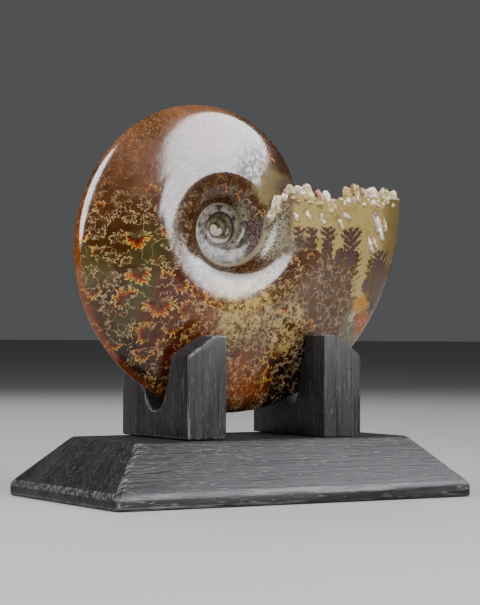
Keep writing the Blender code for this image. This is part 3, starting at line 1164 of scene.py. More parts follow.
    def close_end(self, bm: bmesh.types.BMesh) -> None:
        """Sink the open end into a recess for the crust, and close it.

        Args:
            bm: The shell's mesh.
        """
        rim = [edge for edge in bm.edges if edge.is_boundary]
        inner = new_parts(bmesh.ops.extrude_edge_only(bm, edges=rim), bmesh.types.BMVert)
        bmesh.ops.scale(bm, vec=(1.0, self.recess_taper, 1.0), verts=inner)
        bmesh.ops.translate(bm, vec=(-self.recess / 4, 0.0, -self.recess), verts=inner)
        floor = bmesh.ops.contextual_create(bm, geom=[e for e in bm.edges if e.is_boundary])["faces"]
        bmesh.ops.triangulate(bm, faces=floor)

    def lay_pattern(self, bm: bmesh.types.BMesh) -> None:
        """Give each face of the last whorl to a leaf, and write the leaf's own coordinates on it.

        Args:
            bm: The closed shell.
        """
        turns = bm.verts.layers.float["turns"]
        reach = bm.verts.layers.float["reach"]
        place_layer = bm.loops.layers.float_vector.new("leaf")
        look_layer = bm.loops.layers.float_vector.new("leaf_look")
        first = (self.spiral.end_angle - TURN) / TURN
        flat = {vert: self.flat_place(vert.co) / MM for vert in bm.verts if vert[reach] > 0.0}
        for flank in Flank:
            leaves = self.pattern.leaves(flank, self)
            centres = [self.flat_place(Vector((leaf.x, 0.0, leaf.z)) * MM) / MM for leaf in leaves]
            tree = kdtree.KDTree(len(leaves))
            for index, centre in enumerate(centres):
                tree.insert((centre.x, centre.y, 0.0), index)
            tree.balance()
            for face in bm.faces:
                elsewhere = face.calc_center_median().y * flank.value < 0.0
                if elsewhere or any(vert not in flat for vert in face.verts):
                    continue
                if max(vert[turns] for vert in face.verts) < first:
                    continue
                middle = sum((flat[vert] for vert in face.verts), Vector((0.0, 0.0))) / len(face.verts)
                near = tree.find_n((middle.x, middle.y, 0.0), 9)
                index = min(near, key=lambda hit: hit[2] / leaves[hit[1]].room())[1]
                leaf, centre = leaves[index], centres[index]
                heading = math.radians(leaf.heading)
                ahead = Vector((math.cos(heading), math.sin(heading)))
                side = Vector((-ahead.y, ahead.x))
                for loop in face.loops:
                    offset = flat[loop.vert] - centre
                    loop[place_layer] = (offset.dot(ahead), offset.dot(side), (index * 0.731) % 97.0)
                    loop[look_layer] = (leaf.size, leaf.glow, leaf.kind.value)

    def build(self) -> bpy.types.Object:
        """Build the shell.

        Returns:
            The shell, with a recess for the crust.
        """
        bm = bmesh.new()
        bm.verts.layers.int.new("order")
        for name in ("turns", "reach"):
            bm.verts.layers.float.new(name)
        self.grow_half(bm)
        self.note_coordinates(bm)
        bmesh.ops.remove_doubles(bm, verts=bm.verts, dist=MERGE_DISTANCE)
        self.close_centre(bm)
        self.add_other_half(bm)
        self.close_end(bm)
        bmesh.ops.recalc_face_normals(bm, faces=bm.faces)
        self.lay_pattern(bm)
        return make_object("ammonite_shell", bm, math.radians(50))

    def build_crust(self) -> bpy.types.Object:
        """Build the crust on the broken end."""
        return make_object("calcite_crust", CalciteCrust(self.end).build(), math.radians(60))


# Studio


COOL_WHITE: Colour = (0.92, 0.95, 1.0)
WARM_WHITE: Colour = (1.0, 0.98, 0.95)


def direction(azimuth: float, elevation: float) -> Vector:
    """Return the way towards a place round the shell, where azimuth 0 is towards -Y.

    Args:
        azimuth: The angle round the shell, in radians.
        elevation: The angle above the horizon.

    Returns:
        The unit vector.
    """
    level = Vector((math.sin(azimuth), -math.cos(azimuth), 0.0)) * math.cos(elevation)
    return level + Vector((0.0, 0.0, math.sin(elevation)))


@dataclass
class SoftBox:
    """A large soft lamp that faces the shell, with its angles in degrees and its lengths in metres."""

    name: str
    azimuth: float
    elevation: float
    distance: float
    width: float
    height: float
    power: float
    roll: float = 0.0
    mirrored: bool = True
    lights: bool = True
    colour: Colour = COOL_WHITE

    def build(self, aim: Vector) -> None:
        """Place the lamp.

        Args:
            aim: The point that it faces.
        """
        data = bpy.data.lights.new(self.name, "AREA")
        data.shape = "ELLIPSE"
        data.size, data.size_y = self.width, self.height
        data.energy = self.power
        data.color = self.colour
        lamp = bpy.data.objects.new(self.name, data)
        lamp.visible_glossy, lamp.visible_diffuse = self.mirrored, self.lights
        away = direction(math.radians(self.azimuth), math.radians(self.elevation))
        lamp.location = aim + away * self.distance
        spin = Matrix.Rotation(math.radians(self.roll), 3, "Z")
        lamp.rotation_euler = (away.to_track_quat("Z", "Y").to_matrix() @ spin).to_euler()
        bpy.context.scene.collection.objects.link(lamp)


@dataclass
class Studio:
    """The pale floor, the lamps and the camera."""

    camera_place: Vector = field(default_factory=lambda: Vector((-387.9, -647.3, 58.9)) * MM)
    camera_azimuth: float = math.radians(-30.897)
    camera_elevation: float = math.radians(-0.665)
    camera_roll: float = math.radians(0.234)
    lens: float = 128.3
    film: float = 36.0
    floor_radius: float = 9.0
    floor_colour: Colour = srgb(156, 154, 151)
    world_colour: Colour = srgb(206, 208, 212)
    world_strength: float = 0.14
    aim: Vector = field(default_factory=lambda: Vector((0.0, 0.0, 75.0)) * MM)
    lamps: tuple[SoftBox, ...] = (
        SoftBox("key_box", 36, 35.2, 0.60, 0.96, 0.50, 25.0, 22, lights=False),
        SoftBox("key_fill", 8, 40, 0.80, 0.80, 0.80, 9.5, mirrored=False, colour=WARM_WHITE),
        SoftBox("left_fill", -95, 38, 0.80, 0.70, 0.70, 10.5, mirrored=False, colour=WARM_WHITE),
        SoftBox("left_box", -60, 32, 0.60, 0.24, 0.62, 10.5, lights=False),
        SoftBox("back_box", 165, 38, 1.00, 0.80, 0.60, 7.0, mirrored=False),
    )

    def build_camera(self) -> None:
        """Place the camera at the photograph's angle."""
        back = direction(self.camera_azimuth, self.camera_elevation)
        right = Vector((math.cos(self.camera_azimuth), math.sin(self.camera_azimuth), 0.0))
        up = back.cross(right)
        spin = Matrix.Rotation(self.camera_roll, 3, "Z")
        axes = Matrix((right, up, back)).transposed() @ spin
        data = bpy.data.cameras.new("camera")
        data.sensor_fit = "VERTICAL"
        data.sensor_height = self.film
        data.lens = self.lens
        data.clip_start = 0.01
        camera = bpy.data.objects.new("camera", data)
        camera.matrix_world = Matrix.Translation(self.camera_place) @ axes.to_4x4()
        bpy.context.scene.collection.objects.link(camera)
        bpy.context.scene.camera = camera

    def build_floor(self) -> None:
        """Lay the pale floor."""
        bm = bmesh.new()
        bmesh.ops.create_circle(bm, cap_ends=True, segments=96, radius=self.floor_radius)
        floor = make_object("floor", bm, math.radians(30))
        material, shader = new_material("pale_floor")
        shader.inputs["Base Color"].default_value = (*self.floor_colour, 1.0)
        shader.inputs["Roughness"].default_value = 0.7
        floor.data.materials.append(material)

    def build_world(self) -> None:
        """Fill the room with an even pale light."""
        world = bpy.data.worlds.new("room")
        world.use_nodes = True
        background = world.node_tree.nodes["Background"]
        background.inputs["Color"].default_value = (*self.world_colour, 1.0)
        background.inputs["Strength"].default_value = self.world_strength
        bpy.context.scene.world = world

    def build(self) -> None:
        """Set up the floor, the room, the lamps and the camera."""
        self.build_floor()
        self.build_world()
        for lamp in self.lamps:
            lamp.build(self.aim)
        self.build_camera()


# Finishes


class NodeSheet:
    """A node tree with short ways to add the nodes used here."""

    def __init__(self, tree: bpy.types.NodeTree) -> None:
        """Keep the node tree to add to."""
        self.tree = tree

    def feed(self, socket: Socket, value: object) -> None:
        """Link a socket into an input, or set the input to a constant.

        Args:
            socket: The input.
            value: The socket, number, vector or colour that goes in.
        """
        if isinstance(value, Socket):
            self.tree.links.new(value, socket)
        elif socket.type == "RGBA":
            socket.default_value = (*value, 1.0)
        else:
            socket.default_value = value

    def add(self, kind: str, inputs: dict | None = None, **settings: object) -> bpy.types.Node:
        """Add a node.

        Args:
            kind: The node's type.
            inputs: What goes into its inputs, by their names or numbers.
            **settings: Its properties.

        Returns:
            The node.
        """
        node = self.tree.nodes.new(kind)
        for name, value in settings.items():
            setattr(node, name, value)
        for key, value in (inputs or {}).items():
            self.feed(node.inputs[key], value)
        return node

    def math(self, operation: str, *values: object, clamp: bool = False) -> Socket:
        """Return the result of a Math node."""
        inputs = dict(enumerate(values))
        return self.add("ShaderNodeMath", inputs, operation=operation, use_clamp=clamp).outputs[0]

    def times(self, *factors: object) -> Socket:
        """Return the product of numbers."""
        return reduce(lambda product, factor: self.math("MULTIPLY", product, factor), factors)

    def line(self, value: object, slope: object, start: object) -> Socket:
        """Return a number times a slope, plus a start."""
        return self.math("MULTIPLY_ADD", value, slope, start)

    def minus(self, first: object, second: object) -> Socket:
        """Return the first number less the second."""
        return self.math("SUBTRACT", first, second)

    def magnitude(self, value: object) -> Socket:
        """Return a number without its sign."""
        return self.math("ABSOLUTE", value)

    def distance(self, x: Socket, y: Socket) -> Socket:
        """Return the length of a flat vector."""
        return self.math("SQRT", self.line(x, x, self.times(y, y)))

    def vector_math(self, operation: str, first: object, second: object) -> bpy.types.Node:
        """Add a Vector Math node on two vectors."""
        return self.add("ShaderNodeVectorMath", {0: first, 1: second}, operation=operation)

    def scaled(self, vector: object, factor: object) -> Socket:
        """Return a vector times a number."""
        return self.add("ShaderNodeVectorMath", {0: vector, "Scale": factor}, operation="SCALE").outputs[0]

    def vector(self, x: object, y: object, z: object = 0.0) -> Socket:
        """Return the vector of three numbers."""
        return self.add("ShaderNodeCombineXYZ", {0: x, 1: y, 2: z}).outputs[0]

    def parts(self, vector: Socket) -> tuple[Socket, Socket, Socket]:
        """Return a vector's three numbers."""
        return tuple(self.add("ShaderNodeSeparateXYZ", {0: vector}).outputs)

    def mix(self, factor: object, first: object, second: object, mode: str = "MIX") -> Socket:
        """Return the first colour, blended with the second by a factor."""
        settings = {"data_type": "RGBA", "blend_type": mode, "clamp_factor": True}
        return self.add("ShaderNodeMix", {0: factor, 6: first, 7: second}, **settings).outputs[2]

    def step(self, value: object, low: object, high: object, start: float = 0.0, end: float = 1.0) -> Socket:
        """Return a number moved smoothly from one range to another, and held at the ends."""
        inputs = dict(enumerate((value, low, high, start, end)))
        return self.add("ShaderNodeMapRange", inputs, interpolation_type="SMOOTHSTEP").outputs[0]

    def noise(
        self, vector: Socket, scale: float, detail: float = 2.0, roughness: float = 0.5, out: str = "Fac"
    ) -> Socket:
        """Return cloudy noise."""
        inputs = {"Vector": vector, "Scale": scale, "Detail": detail, "Roughness": roughness}
        return self.add("ShaderNodeTexNoise", inputs).outputs[out]

    def drifted(self, place: Socket, scale: float, detail: float, distance: float) -> Socket:
        """Return a place that noise has moved by up to half a distance along each axis."""
        sway = self.vector_math("SUBTRACT", self.noise(place, scale, detail, out="Color"), (0.5, 0.5, 0.5))
        return self.vector_math("ADD", place, self.scaled(sway.outputs[0], distance)).outputs[0]

    def bump(self, height: Socket, strength: float, distance: float) -> Socket:
        """Return the normal of a surface with relief."""
        inputs = {"Height": height, "Strength": strength, "Distance": distance}
        return self.add("ShaderNodeBump", inputs).outputs[0]

    def object_place(self) -> Socket:
        """Return the point's place on the object, in metres."""
        return self.add("ShaderNodeTexCoord").outputs["Object"]

    def attribute(self, name: str, out: str = "Fac") -> Socket:
        """Return an attribute of the mesh."""
        return self.add("ShaderNodeAttribute", attribute_name=name).outputs[out]

    def group(self, name: str, **values: object) -> bpy.types.Node:
        """Place a node group and feed its inputs by name."""
        return self.add("ShaderNodeGroup", values, node_tree=bpy.data.node_groups[name])

    def ramp(self, factor: Socket, stops: Sequence[tuple[float, Colour]]) -> Socket:
        """Add a colour ramp.

        Args:
            factor: Where on the ramp to look.
            stops: The place and colour of each stop.

        Returns:
            Its colour.
        """
        node = self.add("ShaderNodeValToRGB", {0: factor})
        band = node.color_ramp
        while len(band.elements) < len(stops):
            band.elements.new(0.5)
        for element, (place, colour) in zip(band.elements, stops):
            element.position = place
            element.color = (*colour, 1.0)
        return node.outputs[0]


def new_group(
    name: str,
    inputs: Sequence[tuple[str, str]],
    outputs: Sequence[str],
    fill: Callable[[NodeSheet, dict[str, Socket]], dict[str, Socket]],
) -> None:
    """Build a shader node group.

    Args:
        name: The group's name.
        inputs: The name and kind of each input.
        outputs: The name of each output, a number.
        fill: Adds the nodes. It gets the sheet and the inputs, and returns the outputs.
    """
    tree = bpy.data.node_groups.new(name, "ShaderNodeTree")
    for label, kind in inputs:
        tree.interface.new_socket(label, in_out="INPUT", socket_type=f"NodeSocket{kind}")
    for label in outputs:
        tree.interface.new_socket(label, in_out="OUTPUT", socket_type="NodeSocketFloat")
    sheet = NodeSheet(tree)
    entry = sheet.add("NodeGroupInput")
    result = fill(sheet, {label: entry.outputs[label] for label, _ in inputs})
    sheet.add("NodeGroupOutput", result)


def new_material(name: str) -> tuple[bpy.types.Material, bpy.types.Node]:
    """Make a material with nodes.

    Args:
        name: The material's name.

    Returns:
        The material and its Principled node.
    """
    material = bpy.data.materials.new(name)
    material.use_nodes = True
    return material, material.node_tree.nodes["Principled BSDF"]


def wood_grain(sheet: NodeSheet, entry: dict[str, Socket]) -> dict[str, Socket]:
    """Fill the wood group: fibres, pores, broad bands and cracks along the first axis.

    Args:
        sheet: The group's sheet.
        entry: Its input, the place along and across the fibres.

    Returns:
        Its outputs.
    """

    def streaks(along: float, across: float, detail: float, roughness: float = 0.5) -> Socket:
        """Return noise drawn out along the fibres, by how often it changes in a metre each way."""
        place = sheet.vector_math("MULTIPLY", entry["Along"], (along, across, across)).outputs[0]
        return sheet.noise(place, 1.0, detail, roughness)

    return {
        "Fibres": streaks(45.0, 1300.0, 3.0, 0.65),
        "Pores": sheet.step(streaks(260.0, 3000.0, 2.0), 0.58, 0.70),
        "Bands": streaks(14.0, 120.0, 3.0, 0.6),
        "Cracks": sheet.step(streaks(22.0, 760.0, 2.0, 0.6), 0.36, 0.31),
    }


@dataclass(frozen=True)
class WoodFinish:
    """Dark stained wood with pale pores, and edges made paler by wear and a painted sheen."""

    dark: Colour = srgb(16, 15, 17)
    light: Colour = srgb(42, 40, 42)
    pore: Colour = srgb(92, 88, 86)
    crack: Colour = srgb(5, 4, 5)
    # Pale edge colour: partly wear, partly a painted sheen along the rounded edges.
    worn_and_lit: Colour = srgb(142, 140, 142)
    pore_strength: float = 0.65
    wear_and_sheen_strength: float = 0.45
    flattening: float = 0.35
    specular: float = 0.20
    relief: float = 0.25 * MM

    def build_group(self) -> None:
        """Build the grain's node group, which both woods share."""
        new_group("wood_grain", [("Along", "Vector")], ("Fibres", "Pores", "Bands", "Cracks"), wood_grain)

    def build(self, name: str, grain: Grain) -> bpy.types.Material:
        """Build the material.

        Args:
            name: Its name.
            grain: The axis that the fibres run along.

        Returns:
            The material.
        """
        material, shader = new_material(name)
        sheet = NodeSheet(material.node_tree)
        x, y, z = sheet.parts(sheet.object_place())
        if grain is Grain.LENGTHWISE:
            # Height counts for less, so that the fibres run down the base's end slopes.
            along = sheet.vector(x, y, sheet.times(z, self.flattening))
        else:
            along = sheet.vector(z, y, x)
        wood = sheet.group("wood_grain", Along=along).outputs
        tone = sheet.step(sheet.line(wood["Bands"], 0.8, wood["Fibres"]), 0.62, 1.20)
        colour = sheet.mix(tone, self.dark, self.light)
        colour = sheet.mix(sheet.times(wood["Pores"], self.pore_strength), colour, self.pore)
        colour = sheet.mix(wood["Cracks"], colour, self.crack)
        # Rounded edges get paler along the fibres: partly wear, partly a painted sheen where the edges catch
        # the light.
        rubbed_and_lit = sheet.times(sheet.attribute("wear_and_sheen"), sheet.step(wood["Fibres"], 0.42, 0.68))
        colour = sheet.mix(sheet.times(rubbed_and_lit, self.wear_and_sheen_strength), colour, self.worn_and_lit)
        height = sheet.line(wood["Pores"], -0.5, sheet.line(wood["Cracks"], -1.6, wood["Fibres"]))
        sheet.feed(shader.inputs["Base Color"], colour)
        sheet.feed(shader.inputs["Roughness"], sheet.step(wood["Fibres"], 0.2, 0.8, 0.34, 0.56))
        sheet.feed(shader.inputs["Normal"], sheet.bump(height, 0.5, self.relief))
        shader.inputs["Specular IOR Level"].default_value = self.specular
        return material


def leaf_outline(sheet: NodeSheet, entry: dict[str, Socket]) -> dict[str, Socket]:
    """Fill the outline group: how far a leaf reaches from its middle in a direction.

    The leaf has broad lobes, and narrow fingers along them. It thins out
    towards its stem, which lies at half a turn.

    Args:
        sheet: The group's sheet.
        entry: Its inputs, the direction's turn and the leaf's size and seed.

    Returns:
        Its output.
    """
    turn, size = entry["Turn"], entry["Size"]
    spot = sheet.vector(sheet.math("COSINE", turn), sheet.math("SINE", turn), entry["Seed"])
    drift = sheet.parts(sheet.noise(sheet.scaled(spot, 1.6), 1.0, 1.0, out="Color"))
    bent = sheet.line(sheet.minus(drift[0], 0.5), 0.75, turn)
    fingers = sheet.times(bent, sheet.line(size, 1.6, 0.8), 2.0)
    fingers = sheet.step(sheet.math("COSINE", fingers), -0.75, 0.75)
    lobes = sheet.magnitude(sheet.math("COSINE", sheet.times(bent, 2.0)))
    reach = sheet.line(sheet.times(fingers, drift[2]), 0.66, 0.50)
    reach = sheet.line(lobes, 0.20, reach)
    stem = sheet.step(sheet.magnitude(turn), 2.9, 1.6, 0.30, 1.0)
    return {"Reach": sheet.times(reach, sheet.line(drift[1], 0.9, 0.55), stem, size)}


def wavering(sheet: NodeSheet, place: Socket, scale: float, detail: float, sway: float) -> tuple[Socket, ...]:
    """Bend a leaf's own coordinates with noise, so that no two leaves are alike.

    Args:
        sheet: The group's sheet.
        place: How far the point lies ahead and to the side, and the leaf's seed.
        scale: The noise's scale.
        detail: Its detail.
        sway: How far it moves a point ahead. To the side, it is always 2.4.

    Returns:
        The bent coordinates, the seed, and a further number from the noise.
    """
    ahead, side, seed = sheet.parts(place)
    spot = sheet.vector(sheet.line(ahead, scale, seed), sheet.times(side, scale), seed)
    drift = sheet.parts(sheet.noise(spot, 1.0, detail, out="Color"))
    ahead = sheet.line(sheet.minus(drift[0], 0.5), sway, ahead)
    side = sheet.line(sheet.minus(drift[1], 0.5), 2.4, side)
    return ahead, side, seed, drift[2]


def suture_leaf(sheet: NodeSheet, entry: dict[str, Socket]) -> dict[str, Socket]:
    """Fill the suture group: where a point lies in a suture leaf.

    Args:
        sheet: The group's sheet.
        entry: Its inputs, the leaf's coordinates and its size.

    Returns:
        Its outputs: the distance to the leaf's edge, positive inside, how far
        ahead the point lies, and how far out.
    """
    ahead, side, seed, _ = wavering(sheet, entry["Place"], 0.40, 1.0, 2.4)
    size, turn_step = entry["Size"], 0.02
    turn, away = sheet.math("ARCTAN2", side, ahead), sheet.distance(ahead, side)

    def reach_at(angle: Socket) -> Socket:
        """Return how far the leaf reaches at an angle."""
        return sheet.group("leaf_outline", Turn=angle, Size=size, Seed=seed).outputs[0]

    here = reach_at(turn)
    beside = reach_at(sheet.math("ADD", turn, turn_step))
    slope = sheet.math("DIVIDE", sheet.minus(beside, here), turn_step)
    slope = sheet.math("DIVIDE", slope, sheet.math("MAXIMUM", away, 0.6))
    steep = sheet.math("SQRT", sheet.line(slope, slope, 1.0))
    return {
        "Gap": sheet.math("DIVIDE", sheet.minus(here, away), steep),
        "Front": sheet.math("DIVIDE", ahead, sheet.math("MAXIMUM", away, 0.1)),
        "Share": sheet.math("DIVIDE", away, sheet.math("MAXIMUM", size, 0.1)),
    }


def feather_leaf(sheet: NodeSheet, entry: dict[str, Socket]) -> dict[str, Socket]:
    """Fill the feather group: a leaf of slanting twigs on both sides of a stem.

    Args:
        sheet: The group's sheet.
        entry: Its inputs, the leaf's coordinates, its half length and its half width.

    Returns:
        Its output, the distance to the leaf's edge, positive inside.
    """
    ahead, side, _, plump = wavering(sheet, entry["Place"], 0.6, 2.0, 2.6)
    size, width = entry["Size"], entry["Width"]
    across = sheet.magnitude(side)
    ripple = sheet.math("SINE", sheet.times(across, 6.5))
    root = sheet.line(across, -0.65, sheet.line(ripple, 0.20, ahead))
    left = sheet.math("DIVIDE", sheet.minus(size, root), sheet.times(size, 1.2), clamp=True)
    reach = sheet.times(width, sheet.math("POWER", left, 0.75), sheet.line(left, -2.5, 3.45))
    pitch = sheet.line(width, 0.28, 1.35)
    shifted = sheet.line(sheet.math("SIGN", side), 0.45, root)
    twig = sheet.math("FRACT", sheet.math("DIVIDE", shifted, pitch))
    twig = sheet.magnitude(sheet.line(twig, 2.0, -1.0))
    notch = sheet.math("SQRT", sheet.math("ADD", sheet.times(twig, twig, -1.22), 1.0, clamp=True))
    reach = sheet.times(reach, sheet.line(plump, 1.4, 0.3), sheet.line(notch, 0.95, 0.10))
    reach = sheet.math("MAXIMUM", reach, 0.25)
    end = sheet.minus(size, sheet.magnitude(ahead))
    return {"Gap": sheet.math("MINIMUM", sheet.minus(reach, across), end)}


@dataclass(frozen=True)
class Patch:
    """A soft area of colour on the flank, by its place in the shell's plane: mostly ground colour, and in one
    place a painted shadow.
    """

    x: float
    z: float
    radius: float
    colour: Colour


class ShellPainter(NodeSheet):
    """Lays the shell's colours over each other, from the ground to the sunken centre.

    It keeps what the pattern needs to know of a point, with lengths in
    millimetres. The soft places are unsettled by noise, for areas with uneven
    edges. A leaf look's middle number is a glow or a half width, by its kind.
    """

    def __init__(self, tree: bpy.types.NodeTree, finish: "ShellFinish", pole: Vector) -> None:
        """Read the point's coordinates.

        Args:
            tree: The material's node tree.
            finish: The colours.
            pole: The middle of the spiral.
        """
        super().__init__(tree)
        self.finish = finish
        self.pole = pole / MM
        self.place = self.scaled(self.object_place(), 1 / MM)
        self.x, _, self.z = self.parts(self.place)
        self.flat = self.vector(self.x, self.z)
        self.soft_x, _, self.soft_z = self.parts(self.drifted(self.place, 0.12, 3.0, 14.0))
        self.soft_flat = self.vector(self.soft_x, self.soft_z)
        self.turns, self.reach, _ = self.parts(self.add("ShaderNodeUVMap", uv_map="spiral").outputs[0])
        self.leaf = self.attribute("leaf", "Vector")
        self.size, self.glow, self.kind = self.parts(self.attribute("leaf_look", "Vector"))
        self.older = self.step(self.turns, *finish.older_turns)
        self.wall = self.step(self.reach, *finish.wall_reach)
        self.colour = finish.brown

    def cover(self, mask: Socket, colour: object) -> None:
        """Lay a colour over what is painted so far."""
        self.colour = self.mix(mask, self.colour, colour)

    def cloud(self, scale: float, detail: float = 2.0, roughness: float = 0.5) -> Socket:
        """Return noise at the point's place."""
        return self.noise(self.place, scale, detail, roughness)

    def area(self, flat: Socket, x: float, z: float, near: float, far: float) -> Socket:
        """Return a round mask that is 1 within one distance of a place, and 0 past another."""
        gap = self.vector_math("DISTANCE", flat, (x, z, 0.0)).outputs["Value"]
        return self.step(gap, far, near)

    def paint_ground(self) -> None:
        """Blend the patches of ground colour and the painted shadow among them, and mottle them."""
        for patch in self.finish.patches:
            reaches = (patch.radius * 0.45, patch.radius * 1.25)
            self.cover(self.area(self.soft_flat, patch.x, patch.z, *reaches), patch.colour)
        clouds = self.cloud(0.28, 4.0, 0.6)
        self.cover(self.step(clouds, 0.5, 0.3, 0.0, 0.4), self.finish.deep_brown)
        self.cover(self.step(clouds, 0.52, 0.75, 0.0, 0.35), self.finish.tan)

    def paint_frills(self) -> None:
        """Cover the lower middle of the flank with dense pale frills."""
        tone = self.line(self.cloud(0.95, 3.0, 0.7), 0.7, self.cloud(0.32, 5.0, 0.72))
        area = self.math("MAXIMUM", *(self.area(self.soft_flat, *spot) for spot in self.finish.frill_areas))
        self.cover(self.times(area, self.step(tone, 0.82, 0.72, 0.0, 0.75)), self.finish.russet)
        self.cover(self.times(area, self.step(tone, 0.84, 0.90)), self.finish.moss)

    def paint_threads(self) -> None:
        """Draw the faint threads that run between the leaves."""
        thread = self.noise(self.drifted(self.place, 0.9, 2.0, 1.5), 0.20, 2.0, 0.55)
        thread = self.step(self.magnitude(self.minus(thread, 0.5)), 0.016, 0.005)
        self.cover(self.times(thread, self.step(self.soft_z, 112.0, 90.0, 0.12, 0.5)), self.finish.cream)

    def paint_khaki(self) -> Socket:
        """Cover the flank below the broken edge with khaki.

        Returns:
            The khaki, for the shapes between the ferns.
        """
        finish = self.finish
        edge = self.line(self.cloud(0.45, 3.0, 0.6), 8.0, self.line(self.x, -0.16, 88.2))
        above = self.step(self.minus(self.z, edge), -0.3, 0.3)
        right = self.times(self.step(self.x, 9.5, 12.0), self.step(self.turns, 0.5, 0.6))
        shade = self.step(self.cloud(0.25, 3.0, 0.6), 0.5, 0.3, 0.0, 0.5)
        khaki = self.mix(shade, finish.khaki, finish.khaki_shade)
        khaki = self.mix(self.step(self.soft_x, 51.0, 60.0, 0.0, 0.8), khaki, finish.khaki_edge)
        khaki = self.mix(self.step(self.cloud(1.7), 0.64, 0.70, 0.0, 0.5), khaki, finish.khaki_dots)
        self.cover(self.times(above, right), khaki)
        return khaki

    def paint_ferns(self, khaki: Socket) -> None:
        """Fill the ferns, and the khaki trees between them.

        Args:
            khaki: The trees' colour.
        """
        ferny = self.times(self.step(self.kind, 0.4, 0.6), self.step(self.kind, 2.6, 2.4))
        tree = self.times(ferny, self.step(self.kind, 1.4, 1.6))
        gap = self.group("feather_leaf", Place=self.leaf, Size=self.size, Width=self.glow).outputs[0]
        self.cover(self.times(ferny, self.step(gap, -0.10, 0.10)), self.mix(tree, self.finish.fern, khaki))

    def paint_sutures(self) -> None:
        """Fill the suture leaves with flames, and draw their pale outlines."""
        finish = self.finish
        leaf = self.group("suture_leaf", Place=self.leaf, Size=self.size).outputs
        gap, front, share = leaf["Gap"], leaf["Front"], leaf["Share"]
        suture = self.times(self.step(self.kind, 0.6, 0.4), self.step(self.size, 0.2, 0.4))
        tone = self.math("DIVIDE", gap, self.line(self.size, 0.44, 1.0))
        tone = self.line(self.step(front, 0.3, -0.5), 0.5, tone)
        tone = self.line(self.minus(0.92, share), 0.9, tone)
        lit = self.times(self.step(self.glow, 0.10, 0.80), self.step(front, -0.7, 0.1))
        self.cover(self.times(self.step(gap, 0.0, 0.12), suture, lit), self.ramp(tone, finish.flames))
        ink = self.mix(self.step(self.soft_x, 8.0, 20.0), finish.cream, finish.grey_cream)
        ink = self.mix(self.times(lit, 0.8), ink, finish.flames[0][1])
        outline = self.times(
            self.step(self.magnitude(gap), finish.line_width * 1.6, finish.line_width * 0.5),
            suture,
            self.step(self.cloud(0.35), 0.30, 0.62, 0.25, 1.0),
            self.step(self.soft_z, 112.0, 90.0, 0.08, 1.0),
            self.step(front, -0.95, -0.6, 0.2, 1.0),
            self.step(share, 0.35, 0.85, 0.35, 1.0),
        )
        self.cover(outline, ink)

    def paint_strokes(self) -> None:
        """Paint the flat calcite strokes below the broken edge, on their shaded feet."""
        finish = self.finish
        ahead, side, _ = self.parts(self.leaf)
        past = self.minus(self.magnitude(ahead), self.minus(self.size, self.glow))
        away = self.distance(self.math("MAXIMUM", past, 0.0), side)
        ragged = self.line(self.cloud(0.9, 3.0, 0.7), -3.4, 1.7)
        inside = self.math("ADD", self.minus(self.glow, away), ragged)
        stroke = self.step(self.kind, 2.4, 2.6)
        self.cover(self.times(stroke, self.step(inside, -0.7, -0.1, 0.0, 0.5)), finish.stroke_shade)
        calcite = self.mix(self.step(self.cloud(0.6, 3.0, 0.7), 0.42, 0.60), finish.calcite, finish.rosy)
        self.cover(self.times(stroke, self.step(inside, -0.15, 0.25), 0.9), calcite)

    def paint_edge(self) -> None:
        """Redden the outer edge at the lower left with a painted glow of light shining through it, and let it
        sparkle at the top.
        """
        # Painted glow: an orange band along the lower left edge, as if light shone through the thin edge.
        low = self.times(self.step(self.turns, 0.44, 0.52), self.step(self.turns, 0.74, 0.66))
        self.cover(self.times(low, self.step(self.reach, 0.960, 0.995), 0.6), self.finish.painted_edge_glow)
        high = self.times(self.step(self.turns, 0.12, 0.20), self.step(self.turns, 0.46, 0.36))
        high = self.times(high, self.step(self.reach, 0.80, 0.93), 0.7)
        self.cover(self.times(high, self.step(self.cloud(1.8), 0.56, 0.66)), self.finish.sparkle)

    def paint_centre(self) -> None:
        """Colour the sunken centre: its wall, the older whorl, the seams and the button, with painted shade
        on parts of the wall and of the older whorl.
        """
        finish = self.finish
        speck, cloud = self.cloud(1.5, 3.0, 0.7), self.cloud(0.5, 3.0, 0.6)
        # The wall is dark brown speckle, partly painted shade where it faces away from the light; on the
        # right it turns to pale crust.
        pale = self.math("MAXIMUM", self.step(self.turns, 0.20, 0.12), self.step(self.turns, 0.86, 0.94))
        shaded_wall = self.mix(self.step(speck, 0.42, 0.62), *finish.wall)
        pale_wall = self.mix(self.step(speck, 0.38, 0.60), *finish.pale_wall)
        self.cover(self.wall, self.mix(pale, shaded_wall, pale_wall))
        # The older whorl is pale grey on the left; on the right it is purple speckle, darkened as painted
        # shade of the deep centre.
        whorl = self.mix(self.step(cloud, 0.36, 0.64), *finish.whorl)
        shaded_speckle = self.mix(self.step(speck, 0.40, 0.62), *finish.shaded_speckle)
        self.cover(self.older, self.mix(self.step(self.x, -6.0, -2.0), whorl, shaded_speckle))
        inner_seam = self.times(self.older, self.step(self.reach, 0.415, 0.428))
        seam = self.math("MAXIMUM", self.step(self.reach, 0.2105, 0.2035), inner_seam)
        self.cover(self.times(seam, 0.6), finish.seam)
        self.cover(self.area(self.flat, self.pole.x, self.pole.z, 5.4, 6.2), finish.button_groove)
        button = self.mix(self.step(cloud, 0.35, 0.65), *finish.button)
        self.cover(self.area(self.flat, self.pole.x, self.pole.z, 4.7, 5.3), button)

